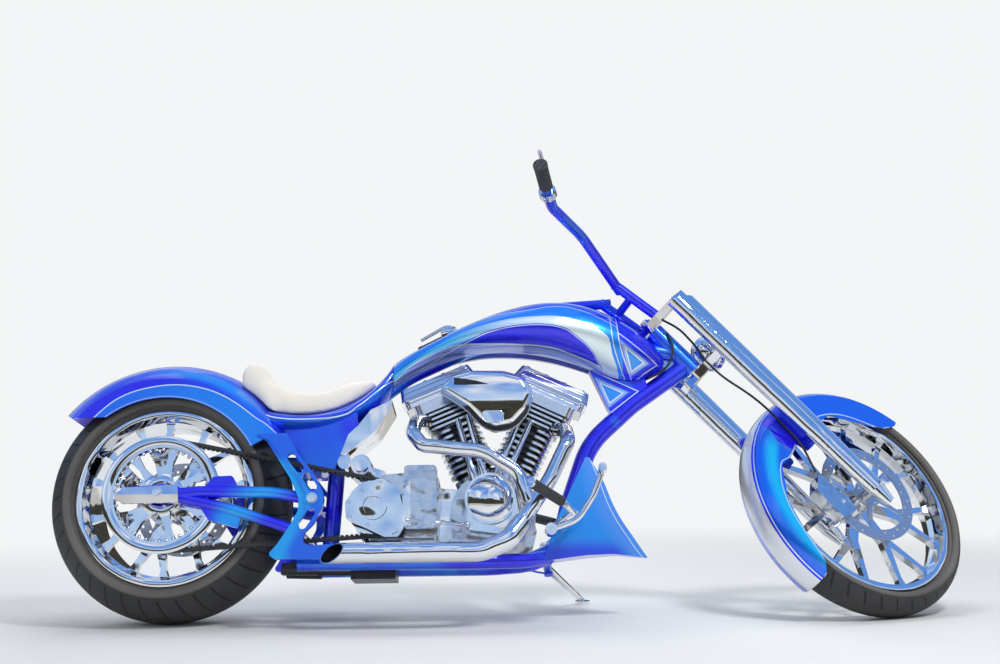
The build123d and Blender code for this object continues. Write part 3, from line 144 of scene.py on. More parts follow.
def axes_matrix(origin, side, up):
    """A frame with Y along side and Z as near to up as it can be."""
    y = Vector(side).normalized()
    z = (Vector(up) - y * y.dot(Vector(up))).normalized()
    matrix = Matrix((y.cross(z), y, z)).transposed().to_4x4()
    matrix.translation = Vector(origin)
    return matrix


def wheel_frame(name):
    """A wheel's frame at its axle, from its joint's name."""
    row = joint(name)
    return axes_matrix(row["pos_m"], row["axis"], (0, 0, 1))


def rear_wheel_frame():
    return wheel_frame("rear_wheel_spin")


def front_wheel_frame():
    return wheel_frame("front_wheel_spin")


def bike_frame():
    """The upright bike: X forward from the rear axle, Y left, Z up from the floor."""
    return rear_wheel_frame() @ Matrix.Translation((0, 0, -REAR_TYRE_R))


def fork_frame():
    """The steering head as it is turned: Z up the steering axis, Y along the front axle."""
    head = joint("steering")
    return axes_matrix(head["pos_m"], joint("front_wheel_spin")["axis"], head["axis"])


def fender_frame():
    """The fork's axes with their origin at the front axle."""
    matrix = fork_frame()
    matrix.translation = Vector(joint("front_wheel_spin")["pos_m"])
    return matrix


# Shader maths


class Wire:
    """A socket's value in a material, for use in Python expressions."""

    def __init__(self, graph, socket):
        self.graph = graph
        self.socket = socket


def wire_method(operation, flipped):
    """A method that makes one maths node from a wire and another value."""

    def method(self, other):
        pair = (other, self) if flipped else (self, other)
        return self.graph.maths(operation, *pair)

    return method


for word, operation in (("add", "ADD"), ("sub", "SUBTRACT"), ("mul", "MULTIPLY"), ("truediv", "DIVIDE"),
                        ("pow", "POWER"), ("mod", "FLOORED_MODULO")):
    setattr(Wire, f"__{word}__", wire_method(operation, False))
    setattr(Wire, f"__r{word}__", wire_method(operation, True))


class Graph:
    """A material's or a world's node tree and the few ways that this file builds it."""

    def __init__(self, holder):
        holder.use_nodes = True
        self.holder = holder
        self.tree = holder.node_tree
        self.tree.nodes.clear()
        self.where = None

    def node(self, kind, settings=None, inputs=None, output=0):
        """A node of one type, its settings first, then the values or wires of its sockets."""
        made = self.tree.nodes.new(kind)
        for key, value in (settings or {}).items():
            setattr(made, key, value)
        for key, value in (inputs or {}).items():
            if isinstance(value, Wire):
                self.tree.links.new(value.socket, made.inputs[key])
            else:
                made.inputs[key].default_value = value
        return Wire(self, made.outputs[output])

    def maths(self, operation, a, b=0.0):
        return self.node("ShaderNodeMath", {"operation": operation}, {0: a, 1: b})

    def most(self, a, b):
        return self.maths("MAXIMUM", a, b)

    def least(self, a, b):
        return self.maths("MINIMUM", a, b)

    def size_of(self, a):
        return self.maths("ABSOLUTE", a)

    def mix(self, factor, a, b):
        """Colour a where factor is 0 and b where it is 1."""
        a = a if isinstance(a, Wire) else (*a, 1.0)[:4]
        b = b if isinstance(b, Wire) else (*b, 1.0)[:4]
        return self.node("ShaderNodeMix", {"data_type": "RGBA"}, {0: factor, 6: a, 7: b}, 2)

    def split(self, vector):
        """The three numbers of a vector."""
        first = self.node("ShaderNodeSeparateXYZ", None, {0: vector})
        return [Wire(self, socket) for socket in first.socket.node.outputs]

    def place(self, matrix):
        """Three numbers in metres, in a frame that moves with the piece. The noises follow them."""
        inverse = matrix.inverted()
        self.where = self.node("ShaderNodeMapping", None, {
            "Vector": self.node("ShaderNodeTexCoord", output=3), "Location": inverse.translation,
            "Rotation": inverse.to_euler()})
        return self.split(self.where)

    def polar(self, x, z):
        """Radius in metres and angle in degrees of a place on a side view."""
        angle = self.maths("ARCTAN2", z, x) * (180 / math.pi)
        return (x * x + z * z) ** 0.5, angle % 360.0

    def noise(self, scale, detail=2.0, roughness=0.5):
        return self.node("ShaderNodeTexNoise", None, {
            "Vector": self.where, "Scale": scale, "Detail": detail, "Roughness": roughness})

    def ramp(self, value, low, high, to_low=0.0, to_high=1.0):
        """A smooth step of value from low to high."""
        return self.node("ShaderNodeMapRange", {"interpolation_type": "SMOOTHSTEP"}, {
            "Value": value, "From Min": low, "From Max": high, "To Min": to_low, "To Max": to_high})

    def patches(self, scale, detail, low, high, roughness=0.5):
        """Soft-edged patches of noise."""
        return self.ramp(self.noise(scale, detail, roughness), low, high)

    def smudge(self, base, spread):
        """Roughness with faint handling marks."""
        return self.noise(9.0, 4.0, 0.6) * spread + (base - spread * 0.5)

    def over(self, value, edge, soft=0.0006):
        """1 where value is past edge and 0 before it."""
        return self.ramp(value - edge, -soft, soft)

    def between(self, value, low, high, soft=0.0006):
        return self.over(value, low, soft) * self.over(high, value, soft)

    def line(self, value, centre, half, soft=0.0006):
        """1 within half of centre, falling to 0 over soft."""
        return self.ramp(self.size_of(value - centre), half, half + soft, 1.0, 0.0)

    def curve(self, value, points, first_unit=0.001):
        """A smooth line through points: the second number, in millimetres, where the first is value."""
        starts = [point[0] * first_unit for point in points]
        heights = [point[1] * 0.001 for point in points]
        low, high = min(heights), max(heights)
        run = starts[-1] - starts[0]
        made = self.node("ShaderNodeFloatCurve", None, {"Value": (value - starts[0]) / run})
        mapping = made.socket.node.mapping
        spots = [((start - starts[0]) / run, (height - low) / (high - low))
                 for start, height in zip(starts, heights)]
        row = mapping.curves[0].points
        row[0].location = spots[0]
        row[1].location = spots[-1]
        for spot in spots[1:-1]:
            row.new(*spot)
        mapping.update()
        return made * (high - low) + low

    def inside(self, x, z, corners):
        """How far a place is inside a triangle, in metres, with corners in millimetres."""
        nearest = None
        middle = Vector((sum(point[0] for point in corners), sum(point[1] for point in corners))) / 3
        for start, end in zip(corners, corners[1:] + corners[:1]):
            along = (Vector(end) - Vector(start)).normalized()
            across = Vector((-along.y, along.x))
            if across.dot(middle - Vector(start)) < 0:
                across = -across
            depth = x * across.x + z * across.y - across.dot(Vector(start)) * 0.001
            nearest = depth if nearest is None else self.least(nearest, depth)
        return nearest

    def bump(self, height, strength, distance=0.001, under=None):
        inputs = {"Height": height, "Strength": strength, "Distance": distance}
        if under is not None:
            inputs["Normal"] = under
        return self.node("ShaderNodeBump", None, inputs)

    def surface(self, **values):
        """The shader itself, with plain names for its sockets."""
        inputs = {}
        for key, value in values.items():
            if key.endswith("color") and not isinstance(value, Wire):
                value = (*value, 1.0)[:4]
            inputs[key.replace("_", " ").title()] = value
        return self.node("ShaderNodeBsdfPrincipled", None, inputs)

    def finish(self, shader, kind="ShaderNodeOutputMaterial"):
        out = self.tree.nodes.new(kind)
        self.tree.links.new(shader.socket, out.inputs["Surface"])
        return self.holder

    def skin(self, colour, rough, normal, **values):
        """Finishes a material with one shader. Its roughness is a wire, or a pair of base and spread."""
        rough = self.smudge(*rough) if isinstance(rough, tuple) else rough
        return self.finish(self.surface(base_color=colour, roughness=rough, normal=normal, **values))


def canvas(name, matrix):
    """A new material's graph, and the place on its piece as three numbers in metres."""
    graph = Graph(bpy.data.materials.new(name))
    return graph, graph.place(matrix)


def shaded(colour, share):
    return tuple(value * share for value in colour)


# Paints


def lacquer(graph, colour, flake=0.35):
    """Metallic base paint with flakes under a clear coat."""
    sparkle = graph.patches(1400.0, 1.0, 0.45, 0.75)
    lit = graph.mix(sparkle * flake, colour, graph.mix(0.35, colour, (0.5, 0.7, 1.0)))
    normal = graph.bump(graph.noise(140.0), 0.02, 0.0005)
    return graph.skin(lit, (0.3, 0.08), normal, metallic=0.6, coat_weight=1.0, coat_roughness=0.03)


def drifting(graph, deep, bright, low=0.4, high=0.62):
    """Candy colour that drifts between two blues, with a few painted cyan highlights."""
    blue = graph.mix(graph.patches(4.2, 2.0, low, high), deep, bright)
    # Painted highlight: cyan patches stand in for glints of light on the candy paint
    return graph.mix(graph.patches(6.1, 1.0, 0.62, 0.74) * 0.7, blue, HIGHLIGHT_CYAN)


def candy_paint(name, matrix, deep, bright):
    graph, _ = canvas(name, matrix)
    return lacquer(graph, drifting(graph, deep, bright))


def tank_paint(name, matrix, royal, azure, ice, haze):
    """Azure over a pale swoosh and a royal field, grey stripes below and a panel with a chevron at the nose."""
    graph, (x, _, z) = canvas(name, matrix)
    pin, azure_top, swoosh_top, swoosh_low, royal_low, stripe_low = (graph.curve(x, points) for points in (
        TANK_PIN, AZURE_TOP, SWOOSH_TOP, SWOOSH_LOW, ROYAL_LOW, STRIPE_LOW))
    body = graph.ramp(x, TANK_NOSE_X, TANK_NOSE_X + 0.001, 1.0, 0.0)
    pale = graph.mix(graph.ramp(x, 0.8, 1.1), (0.05, 0.5, 0.95), ice)
    fine = graph.ramp(graph.size_of((z - stripe_low) % 0.009 - 0.0045), 0.003, 0.004)
    stripes = graph.mix(fine, haze, graph.mix(0.55, haze, royal))
    colour = graph.mix(graph.noise(4.0) * 0.35, royal, azure)
    for low, high, tint in ((swoosh_top, azure_top, graph.mix(0.45, azure, (0.0, 0.38, 1.0))),
                            (swoosh_low, swoosh_top, pale), (royal_low, swoosh_low, royal)):
        colour = graph.mix(graph.between(z, low, high) * body, colour, tint)
    colour = graph.mix(graph.between(z, stripe_low, royal_low), colour, stripes)
    for edge, half in ((pin, 0.0011), (azure_top, 0.0009), (swoosh_low - 0.004, 0.001), (royal_low, 0.001)):
        colour = graph.mix(graph.line(z, edge, half) * body, colour, ice)
    colour = graph.mix(graph.line(z, stripe_low, 0.0014), colour, ice)
    nose = graph.curve(z, NOSE_EDGE)
    chevron = chevrons(graph, graph.inside(x, z, NOSE_TRIANGLE), royal, azure, ice, haze)
    colour = graph.mix(graph.over(x, nose), colour, chevron)
    colour = graph.mix(graph.line(x, nose, 0.0014), colour, ice)
    colour = graph.mix(graph.line(x, nose - 0.02, 0.001) * graph.over(z, stripe_low), colour, ice)
    return lacquer(graph, colour)


def chevrons(graph, inside, royal, azure, ice, haze):
    """Rings of colour that follow a triangle's edges inward."""
    colour = graph.mix(graph.line(inside, -0.016, 0.0012), royal, ice)
    for start, end, tint in ((-0.004, 0.0, azure), (0.0, 0.007, haze), (0.007, 0.011, ice)):
        colour = graph.mix(graph.between(inside, start, end), colour, tint)
    return graph.mix(graph.over(inside, 0.011), colour, (0.02, 0.3, 0.9))


def web_paint(name, matrix, royal, azure, ice, haze):
    """The frame tube's candy, with a small chevron on its web."""
    graph, (x, _, z) = canvas(name, matrix)
    inside = graph.inside(x, z, WEB_TRIANGLE)
    colour = drifting(graph, royal, azure, 0.45, 0.75)
    panel = chevrons(graph, inside, royal, azure, ice, haze)
    return lacquer(graph, graph.mix(graph.over(inside, -0.02), colour, panel))


def rear_fender_paint(name, matrix, royal, azure, ice, haze):
    """Royal over azure, parted by a pinstripe that runs round the wheel, with a painted cyan highlight along the
    front of the curve.
    """
    graph, (x, y, z) = canvas(name, matrix)
    radius, angle = graph.polar(x, z - REAR_TYRE_R)
    pin = graph.curve(angle, REAR_PIN, 1.0)
    front = graph.ramp(angle, 40.0, 100.0, 1.0, 0.0)
    above = graph.mix(front * graph.ramp(radius, 0.39, 0.345) * 0.8, royal, azure)
    # Painted highlight: a cyan band along the fender's front curve
    painted_highlight = graph.line(radius, REAR_HIGHLIGHT_R, 0.004, 0.022) * graph.between(angle, 45.0, 95.0, 18.0)
    above = graph.mix(painted_highlight * 0.8, above, (0.0, 0.4, 0.95))
    below = graph.mix(graph.ramp(angle, 45.0, 130.0), (0.0, 0.26, 0.92), azure)
    colour = graph.mix(graph.over(pin, radius), above, below)
    colour = graph.mix(graph.line(radius, pin, 0.0014), colour, ice)
    colour = graph.mix(graph.line(radius, REAR_EDGE_LINE_R, 0.0012), colour, haze)
    crown = graph.line(graph.size_of(y), REAR_CROWN_LINE_Y, 0.0012) * graph.over(radius, 0.36)
    return lacquer(graph, graph.mix(crown, colour, ice))


def shell_paint(name, matrix, royal, azure, ice, haze):
    """The seat shell's two blues and the pinstripe between them."""
    graph, (x, _, z) = canvas(name, matrix)
    pin = graph.curve(x, SHELL_PIN)
    under = graph.mix(graph.ramp(z - pin, -0.05, -0.01), royal, azure)
    colour = graph.mix(graph.over(z, pin), under, graph.mix(0.4, royal, azure))
    colour = graph.mix(graph.line(z, pin, 0.0016), colour, ice)
    colour = graph.mix(graph.line(z, pin + 0.014, 0.001), colour, haze)
    return lacquer(graph, colour)


def front_fender_paint(name, matrix, royal, azure, ice):
    """A silver crown, pinstripes, azure sides with a painted cyan highlight along their middle, and a royal saddle.
    """
    graph, (x, y, z) = canvas(name, matrix)
    radius, angle = graph.polar(x, z)
    side = graph.size_of(y)
    edge = graph.curve(angle, FRONT_EDGE, 1.0)
    # Painted highlight: a cyan band along the middle of each side
    painted_highlight = graph.line(radius, FRONT_HIGHLIGHT_R, 0.006, 0.026) * graph.ramp(angle, 105.0, 120.0)
    colour = graph.mix(painted_highlight, azure, (0.0, 0.62, 0.95))
    saddle = graph.between(angle, 74.0, 112.0, 0.8) * graph.ramp(angle + radius * 150.0, 160.0, 161.0, 1.0, 0.0)
    colour = graph.mix(saddle, colour, royal)
    colour = graph.mix(graph.line(radius, edge + 0.004, 0.0016), colour, ice)
    crown = graph.ramp(side, FRONT_CROWN_HALF, FRONT_CROWN_HALF + 0.0006, 1.0, 0.0)
    silver = graph.mix(graph.ramp(angle, 60.0, 95.0), azure, FENDER_SILVER)
    colour = graph.mix(crown, colour, silver)
    for away, half, tint in ((0.0025, 0.002, royal), (0.008, 0.0012, ice), (0.0132, 0.001, royal)):
        pinstripe = graph.line(side, FRONT_CROWN_HALF + away, half) * graph.over(radius, 0.35)
        colour = graph.mix(pinstripe, colour, tint)
    return lacquer(graph, colour, 0.2)


def plate_paint(name, matrix):
    """Azure with drifting bands of painted cyan highlight."""
    graph, _ = canvas(name, matrix)
    # Painted highlight: drifting cyan bands on the azure
    painted_highlight = graph.line(graph.noise(5.0, 1.0), 0.55, 0.02, 0.12)
    return lacquer(graph, graph.mix(painted_highlight, (0.0, 0.13, 0.85), (0.0, 0.42, 0.95)))


def arm_paint(name, matrix, royal):
    """Royal with a painted cyan highlight over the middle of the swingarm's tubes."""
    graph, (x, _, z) = canvas(name, matrix)
    # Painted highlight: a cyan band across the middle of the tubes
    painted_highlight = graph.between(x - (z - 0.33) * 1.2, 0.2, 0.33, 0.07) * graph.over(x, 0.16, 0.03)
    return lacquer(graph, graph.mix(painted_highlight * 0.85, royal, HIGHLIGHT_CYAN))


def fin_paint(name, matrix, azure, ice):
    """Azure that brightens upward, with a pale line just inside the fin's leading edge."""
    graph, (x, _, z) = canvas(name, matrix)
    inset = graph.curve(z, FIN_EDGE) - x
    colour = graph.mix(graph.ramp(z, 0.19, 0.24), (0.01, 0.05, 0.8), (0.0, 0.3, 0.92))
    colour = graph.mix(graph.ramp(inset, 0.02, 0.09), graph.mix(0.5, azure, (0.15, 0.5, 1.0)), colour)
    return lacquer(graph, graph.mix(graph.line(inset, 0.014, 0.0012), colour, ice))


# Metals


def metal(graph, colour, normal, rough=0.05, spread=0.03, more=0.0, metallic=1.0):
    """Finishes a metal, rougher by more where that is given."""
    return graph.skin(colour, graph.smudge(rough, spread) + more, normal, metallic=metallic)


def dulled(graph, tint, dim, share):
    """A colour with dim patches."""
    return graph.mix(graph.patches(30.0, 4.0, 0.55, 0.8) * share, tint, dim)


def chrome(name, matrix, rough=0.05, heat=False, rings=(), wave=0.012):
    """Polished plating with smudges and waves, straw-tinted where pipes run hot, crowned on rings of a wheel."""
    graph, (x, _, z) = canvas(name, matrix)
    height = graph.noise(9.0, 1.0) * wave
    for middle, half in rings:
        away = (graph.polar(x, z)[0] - middle) / half
        height = height + graph.most(1.0 - away * away, 0.0) * half * 0.22
    colour = dulled(graph, PLATING, shaded(PLATING, 0.75), 0.25)
    if heat:
        hot = graph.ramp(z, 0.34, 0.5) * graph.patches(12.0, 2.0, 0.35, 0.65)
        colour = graph.mix(hot * 0.4, colour, (0.55, 0.42, 0.28))
    return metal(graph, colour, graph.bump(height, 1.0, 1.0), rough)


def domed_chrome(name, matrix):
    """The air cleaner's polished face, crowned so that it mirrors the sky above and the dark skyline below. Its
    rounded wall has a painted reflection instead: near black below, sky blue above.
    """
    graph, (x, y, z) = canvas(name, matrix)
    across = x - AIR_CLEANER_X
    height = z - AIR_CLEANER_Z
    dip = graph.least(height + 0.055, 0.0)
    crown = across * across * -0.25 + height * height * -1.8 + dip * dip * 1.8
    ripple = graph.bump(graph.noise(9.0, 1.0), 0.04, 0.002)
    # Painted reflection on the rounded wall: near black below, sky blue above, on duller and less metallic plating
    wall = graph.over(y, AIR_CLEANER_FACE_Y, 0.001) * graph.ramp(z, 0.68, 0.69, 1.0, 0.0)
    seen = graph.mix(graph.ramp(z, 0.612, 0.618), (0.03, 0.03, 0.026), (0.3, 0.45, 0.74))
    colour = graph.mix(wall, dulled(graph, POLISH, POLISH_DIM, 0.2), seen)
    return metal(graph, colour, graph.bump(crown, 1.0, 1.0, ripple), more=wall * 0.3,
                 metallic=1.0 - wall * 0.75)


def creased_chrome(name, matrix):
    """The axle covers: polished, with a crease along their middle that parts the sky from the ground."""
    graph, (_, _, z) = canvas(name, matrix)
    crease = graph.size_of(z - COVER_CREASE_Z) * -0.24
    normal = graph.bump(crease + graph.noise(9.0, 1.0) * 0.003, 1.0, 1.0)
    return metal(graph, dulled(graph, POLISH, POLISH_DIM, 0.2), normal, 0.06)


def bore_place(x, z, lean):
    """Across and up a cylinder's bore, from a place on the side view."""
    angle = math.radians(lean)
    x = x - ENGINE_X
    z = z - ENGINE_Z
    return x * math.cos(angle) - z * math.sin(angle), x * math.sin(angle) + z * math.cos(angle)


def ribbed_chrome(name, matrix):
    """Rocker covers: polished steps and fine ribs along each cover's length, with painted shade in the grooves
    between the steps.
    """
    graph, (x, _, z) = canvas(name, matrix)
    ups = [bore_place(x, z, lean)[1] for lean in (REAR_LEAN, FRONT_LEAN)]
    up = graph.split(graph.mix(graph.over(x, ENGINE_X), *ups))[0]
    step = graph.ramp(graph.size_of(up % 0.017 - 0.0085), 0.0062, 0.0078)
    # Painted shade: the grooves between the steps are darkened
    colour = graph.mix(step * 0.5, (0.86, 0.87, 0.89), (0.3, 0.3, 0.32))
    normal = graph.bump(1.0 - step, 0.7, 0.002, graph.bump(graph.noise(12.0, 1.0), 0.05, 0.002))
    return metal(graph, colour, normal, 0.1, 0.05)


def cast_metal(name, matrix, tint, rough):
    """A satin casting with fine grain and darker oil-stained patches."""
    graph, _ = canvas(name, matrix)
    stain = graph.patches(11.0, 5.0, 0.45, 0.75, 0.65)
    waves = graph.bump(graph.noise(22.0, 1.0) * 0.005, 1.0, 1.0)
    return metal(graph, graph.mix(stain * 0.4, tint, shaded(tint, 0.5)),
                 graph.bump(graph.noise(420.0), 0.25, 0.0006, waves), rough, 0.12)


def finned_metal(name, matrix, lean):
    """Barrels and heads: black between the fins, bright on their edges, smooth on the rocker deck."""
    graph, (x, y, z) = canvas(name, matrix)
    across, up = bore_place(x, z, lean)
    reach = (across * across + y * y) ** 0.5
    barrel = graph.ramp(up, BARREL_TOP - 0.002, BARREL_TOP, 1.0, 0.0) * graph.ramp(
        reach, FIN_REACH, FIN_REACH + 0.003, 1.0, 0.0)
    depth = graph.most(graph.size_of(across) - 0.01, graph.size_of(y))
    head = graph.between(up, BARREL_TOP, HEAD_TOP) * graph.ramp(depth, 0.063, 0.066, 1.0, 0.0)
    dark = graph.most(barrel, head)
    colour = graph.mix(dark, (0.78, 0.79, 0.8), (0.03, 0.03, 0.032))
    colour = graph.mix(graph.patches(26.0, 4.0, 0.5, 0.75) * 0.3, colour, (0.2, 0.19, 0.18))
    normal = graph.bump(graph.noise(500.0), 0.15, 0.0004)
    return metal(graph, colour, normal, 0.18, 0.08, dark * 0.3, 0.95)


def brushed_disc(name, matrix):
    """Steel turned on a lathe: fine rings about the axle."""
    graph, (x, _, z) = canvas(name, matrix)
    radius, _ = graph.polar(x, z)
    rings = graph.node("ShaderNodeTexNoise", {"noise_dimensions": "1D"},
                       {"W": radius, "Scale": 900.0, "Detail": 2.0})
    wear = graph.noise(20.0, 3.0)
    colour = graph.mix(rings * 0.35 + wear * 0.2, (0.68, 0.69, 0.72), (0.36, 0.36, 0.38))
    return graph.skin(colour, rings * 0.2 + 0.2, graph.bump(rings, 0.15, 0.0003), metallic=1.0)


def tip_metal(name, matrix):
    """Polished outside and sooty inside the muffler's open end."""
    graph, (_, y, z) = canvas(name, matrix)
    away, _ = graph.polar(y - MUFFLER_Y, z - MUFFLER_Z)
    soot = graph.ramp(away, MUFFLER_BORE_R, MUFFLER_BORE_R + 0.001, 1.0, 0.0)
    colour = graph.mix(soot, PLATING, (0.012, 0.012, 0.012))
    return metal(graph, colour, graph.bump(graph.noise(300.0), 0.05, 0.0003), 0.08, 0.04,
                 soot * 0.5)


def headlamp_metal(name, matrix):
    """A chrome shell with a ribbed glass front."""
    graph, (x, y, z) = canvas(name, matrix)
    lens = graph.over((x - 0.108) * 0.727 - (z + 0.078) * 0.687, 0.0385)
    ribs = graph.ramp(graph.size_of(y % 0.008 - 0.004), 0.001, 0.003)
    glass = graph.mix(ribs, (0.55, 0.58, 0.62), (0.8, 0.83, 0.87))
    return metal(graph, graph.mix(lens, (0.86, 0.87, 0.89), glass),
                 graph.bump(ribs * lens, 0.3, 0.0008), 0.06, 0.03, lens * 0.06)


# Rubber, leather and black parts


def rubber(name, matrix, tone):
    """Matt black rubber, a little dusty."""
    graph, _ = canvas(name, matrix)
    dust = graph.patches(7.0, 5.0, 0.45, 0.8, 0.65)
    colour = graph.mix(dust * 0.5, (tone, tone, tone * 1.02), (tone * 2.4, tone * 2.3, tone * 2.1))
    return graph.skin(colour, (0.62, 0.15), graph.bump(graph.noise(300.0), 0.3, 0.0005))


def ribbed_rubber(name, matrix, pitch):
    """Rubber with moulded ribs across it."""
    graph, (x, y, _) = canvas(name, matrix)
    ribs = graph.ramp(graph.size_of((y + x * 0.5) % pitch - pitch * 0.5), pitch * 0.1, pitch * 0.3)
    grain = graph.bump(graph.noise(400.0), 0.2, 0.0004)
    colour = graph.mix(ribs * 0.6, (0.045, 0.045, 0.048), (0.015, 0.015, 0.016))
    return graph.skin(colour, (0.55, 0.12), graph.bump(ribs, 0.5, 0.0012, grain))


def tyre_rubber(name, matrix, tread_half, shoulder_r, spacing, sweep):
    """Tread grooves that sweep back from the shoulders, painted near black as painted shade, fine rings on the walls
    and road dust.
    """
    graph, (x, y, z) = canvas(name, matrix)
    radius, angle = graph.polar(x, z)
    side = graph.size_of(y)
    shifted = (angle + side * sweep) % spacing - spacing * 0.5
    across = graph.size_of(shifted) * radius * (math.pi / 180)
    near = graph.between(side, tread_half * 0.34, tread_half * 0.98, 0.002) * graph.over(radius, shoulder_r, 0.002)
    groove = graph.ramp(across, 0.0022, 0.0036, 1.0, 0.0) * near
    wall = graph.ramp(radius, shoulder_r - 0.004, shoulder_r - 0.001, 1.0, 0.0)
    rings = graph.ramp(graph.size_of(radius % 0.011 - 0.0055), 0.0006, 0.0012, 1.0, 0.0) * wall
    dust = graph.patches(9.0, 5.0, 0.35, 0.75, 0.65)
    colour = graph.mix(dust * 0.5, (0.028, 0.028, 0.029), (0.06, 0.057, 0.053))
    worn = graph.ramp(graph.noise(3.0, 3.0), 0.25, 0.75, 0.45, 0.95)
    colour = graph.mix(wall * worn, colour, (0.15, 0.14, 0.128))
    # Painted shade: the grooves are darker than clean rubber
    colour = graph.mix(groove, colour, (0.004, 0.004, 0.004))
    grain = graph.bump(graph.noise(350.0), 0.25, 0.0005)
    return graph.skin(colour, (0.66, 0.16), graph.bump(1.0 - groove + rings * 0.3, 0.8, 0.003, grain))


def leather(name, matrix):
    """Cream suede with fine nap and soft creases."""
    graph, _ = canvas(name, matrix)
    nap = graph.noise(700.0, 3.0)
    colour = graph.mix(graph.patches(6.0, 3.0, 0.3, 0.7), (0.8, 0.765, 0.7), (0.72, 0.68, 0.605))
    colour = graph.mix(graph.ramp(nap, 0.3, 0.7) * 0.14, colour, (0.55, 0.5, 0.43))
    normal = graph.bump(graph.noise(18.0, 4.0), 0.16, 0.004, graph.bump(nap, 0.22, 0.0006))
    return graph.skin(colour, (0.72, 0.14), normal, sheen_weight=0.25)


def dark_paint(name, matrix, tone=0.02):
    """Black paint with a soft gloss and dust."""
    graph, _ = canvas(name, matrix)
    dust = graph.patches(15.0, 4.0, 0.5, 0.8)
    colour = graph.mix(dust * 0.4, (tone, tone, tone), (0.07, 0.07, 0.065))
    return graph.skin(colour, (0.34, 0.12), graph.bump(graph.noise(500.0, 1.0), 0.08, 0.0003))


def lamp_red(name, matrix):
    """A red lens with fine ribs."""
    graph, _ = canvas(name, matrix)
    ribs = graph.node("ShaderNodeTexWave", None, {"Vector": graph.where, "Scale": 60.0})
    colour = graph.mix(ribs * 0.5, (0.45, 0.01, 0.01), (0.2, 0.0, 0.0))
    return graph.skin(colour, (0.12, 0.04), graph.bump(ribs, 0.2, 0.0006), coat_weight=1.0)


def dress(material, names):
    """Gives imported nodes, named in one string, a material."""
    for name in names.split():
        data = frame["nodes"][name].data
        data.materials.clear()
        data.materials.append(material)


# Mesh helpers, all in millimetres of the frame that a piece is made in


def make_piece(name, bm, matrix, material, body):
    """An object in the scene, from a bmesh in millimetres of the frame that matrix gives."""
    mesh = bpy.data.meshes.new(name)
    bmesh.ops.transform(bm, matrix=matrix @ Matrix.Scale(0.001, 4), verts=bm.verts)
    bmesh.ops.recalc_face_normals(bm, faces=bm.faces)
    bm.to_mesh(mesh)
    bm.free()
    made = bpy.data.objects.new(name, mesh)
    bpy.context.scene.collection.objects.link(made)
    mesh.materials.append(material)
    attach(made, body)


def basis(origin, direction):
    """A frame at origin whose Z runs along direction."""
    turn = Vector(direction).normalized().to_track_quat("Z", "Y").to_matrix().to_4x4()
    turn.translation = Vector(origin)
    return turn


def circle(count, radius=1.0, start=0.0):
    """Points round a circle, as pairs."""
    angles = [2 * math.pi * (number + start) / count for number in range(count)]
    return [(radius * math.cos(angle), radius * math.sin(angle)) for angle in angles]


def close_loops(bm, loops, smooth=False):
    """Faces between loops of points, and one over each end."""
    for lower, upper in zip(loops, loops[1:]):
        for number in range(len(lower)):
            after = (number + 1) % len(lower)
            bm.faces.new((lower[number], lower[after], upper[after], upper[number])).smooth = smooth
    bm.faces.new(list(reversed(loops[0])))
    bm.faces.new(loops[-1])


def add_stack(bm, place, rings, sides, smooth=True):
    """A turned solid: rings of height and radius, closed at both ends."""
    loops = [[bm.verts.new(place @ Vector((x, y, height))) for x, y in circle(sides, radius)]
             for height, radius in rings]
    close_loops(bm, loops, smooth)


def add_screw(bm, origin, direction, radius, height):
    """A round socket head with a chamfer and a sunk hexagon."""
    rings = [(-1.0, radius), (height * 0.75, radius), (height, radius * 0.82), (height, radius * 0.5),
             (height * 0.4, radius * 0.45)]
    add_stack(bm, basis(origin, direction), rings, 12, False)


def add_hex(bm, origin, direction, radius, height):
    """A hexagon head on a washer."""
    place = basis(origin, direction)
    add_stack(bm, place, [(-1.0, radius * 1.25), (height * 0.2, radius * 1.25)], 20, False)
    rings = [(height * 0.2, radius), (height * 0.85, radius), (height, radius * 0.85)]
    add_stack(bm, place, rings, 6, False)


def add_ball(bm, origin, radius):
    """A small round head."""
    angles = [math.pi * (number + 0.35) / 6.7 - math.pi / 2 for number in range(7)]
    rings = [(radius * math.sin(angle), radius * math.cos(angle)) for angle in angles]
    add_stack(bm, basis(origin, (0, 0, 1)), rings, 10)


def add_bar(bm, start, end, radius):
    """A straight round bar."""
    run = Vector(end) - Vector(start)
    add_stack(bm, basis(start, run), [(0, radius), (run.length, radius)], 12)


def add_line(bm, points, radius):
    """A round wire through points."""
    loops = []
    for number, point in enumerate(points):
        before = points[max(number - 1, 0)]
        after = points[min(number + 1, len(points) - 1)]
        place = basis(point, Vector(after) - Vector(before))
        loops.append([bm.verts.new(place @ Vector((x, y, 0))) for x, y in circle(8, radius)])
    close_loops(bm, loops, True)


def rounded_run(points, steps=6):
    """More points along a smooth path through the given ones."""
    spots = [Vector(point) for point in points]
    path = []
    for number in range(len(spots) - 1):
        before, here, ahead = spots[max(number - 1, 0)], spots[number], spots[number + 1]
        beyond = spots[min(number + 2, len(spots) - 1)]
        for t in (step / steps for step in range(steps)):
            path.append(0.5 * (2 * here + (ahead - before) * t
                               + (2 * before - 5 * here + 4 * ahead - beyond) * t * t
                               + (3 * here - before - 3 * ahead + beyond) * t * t * t))
    return path + [spots[-1]]


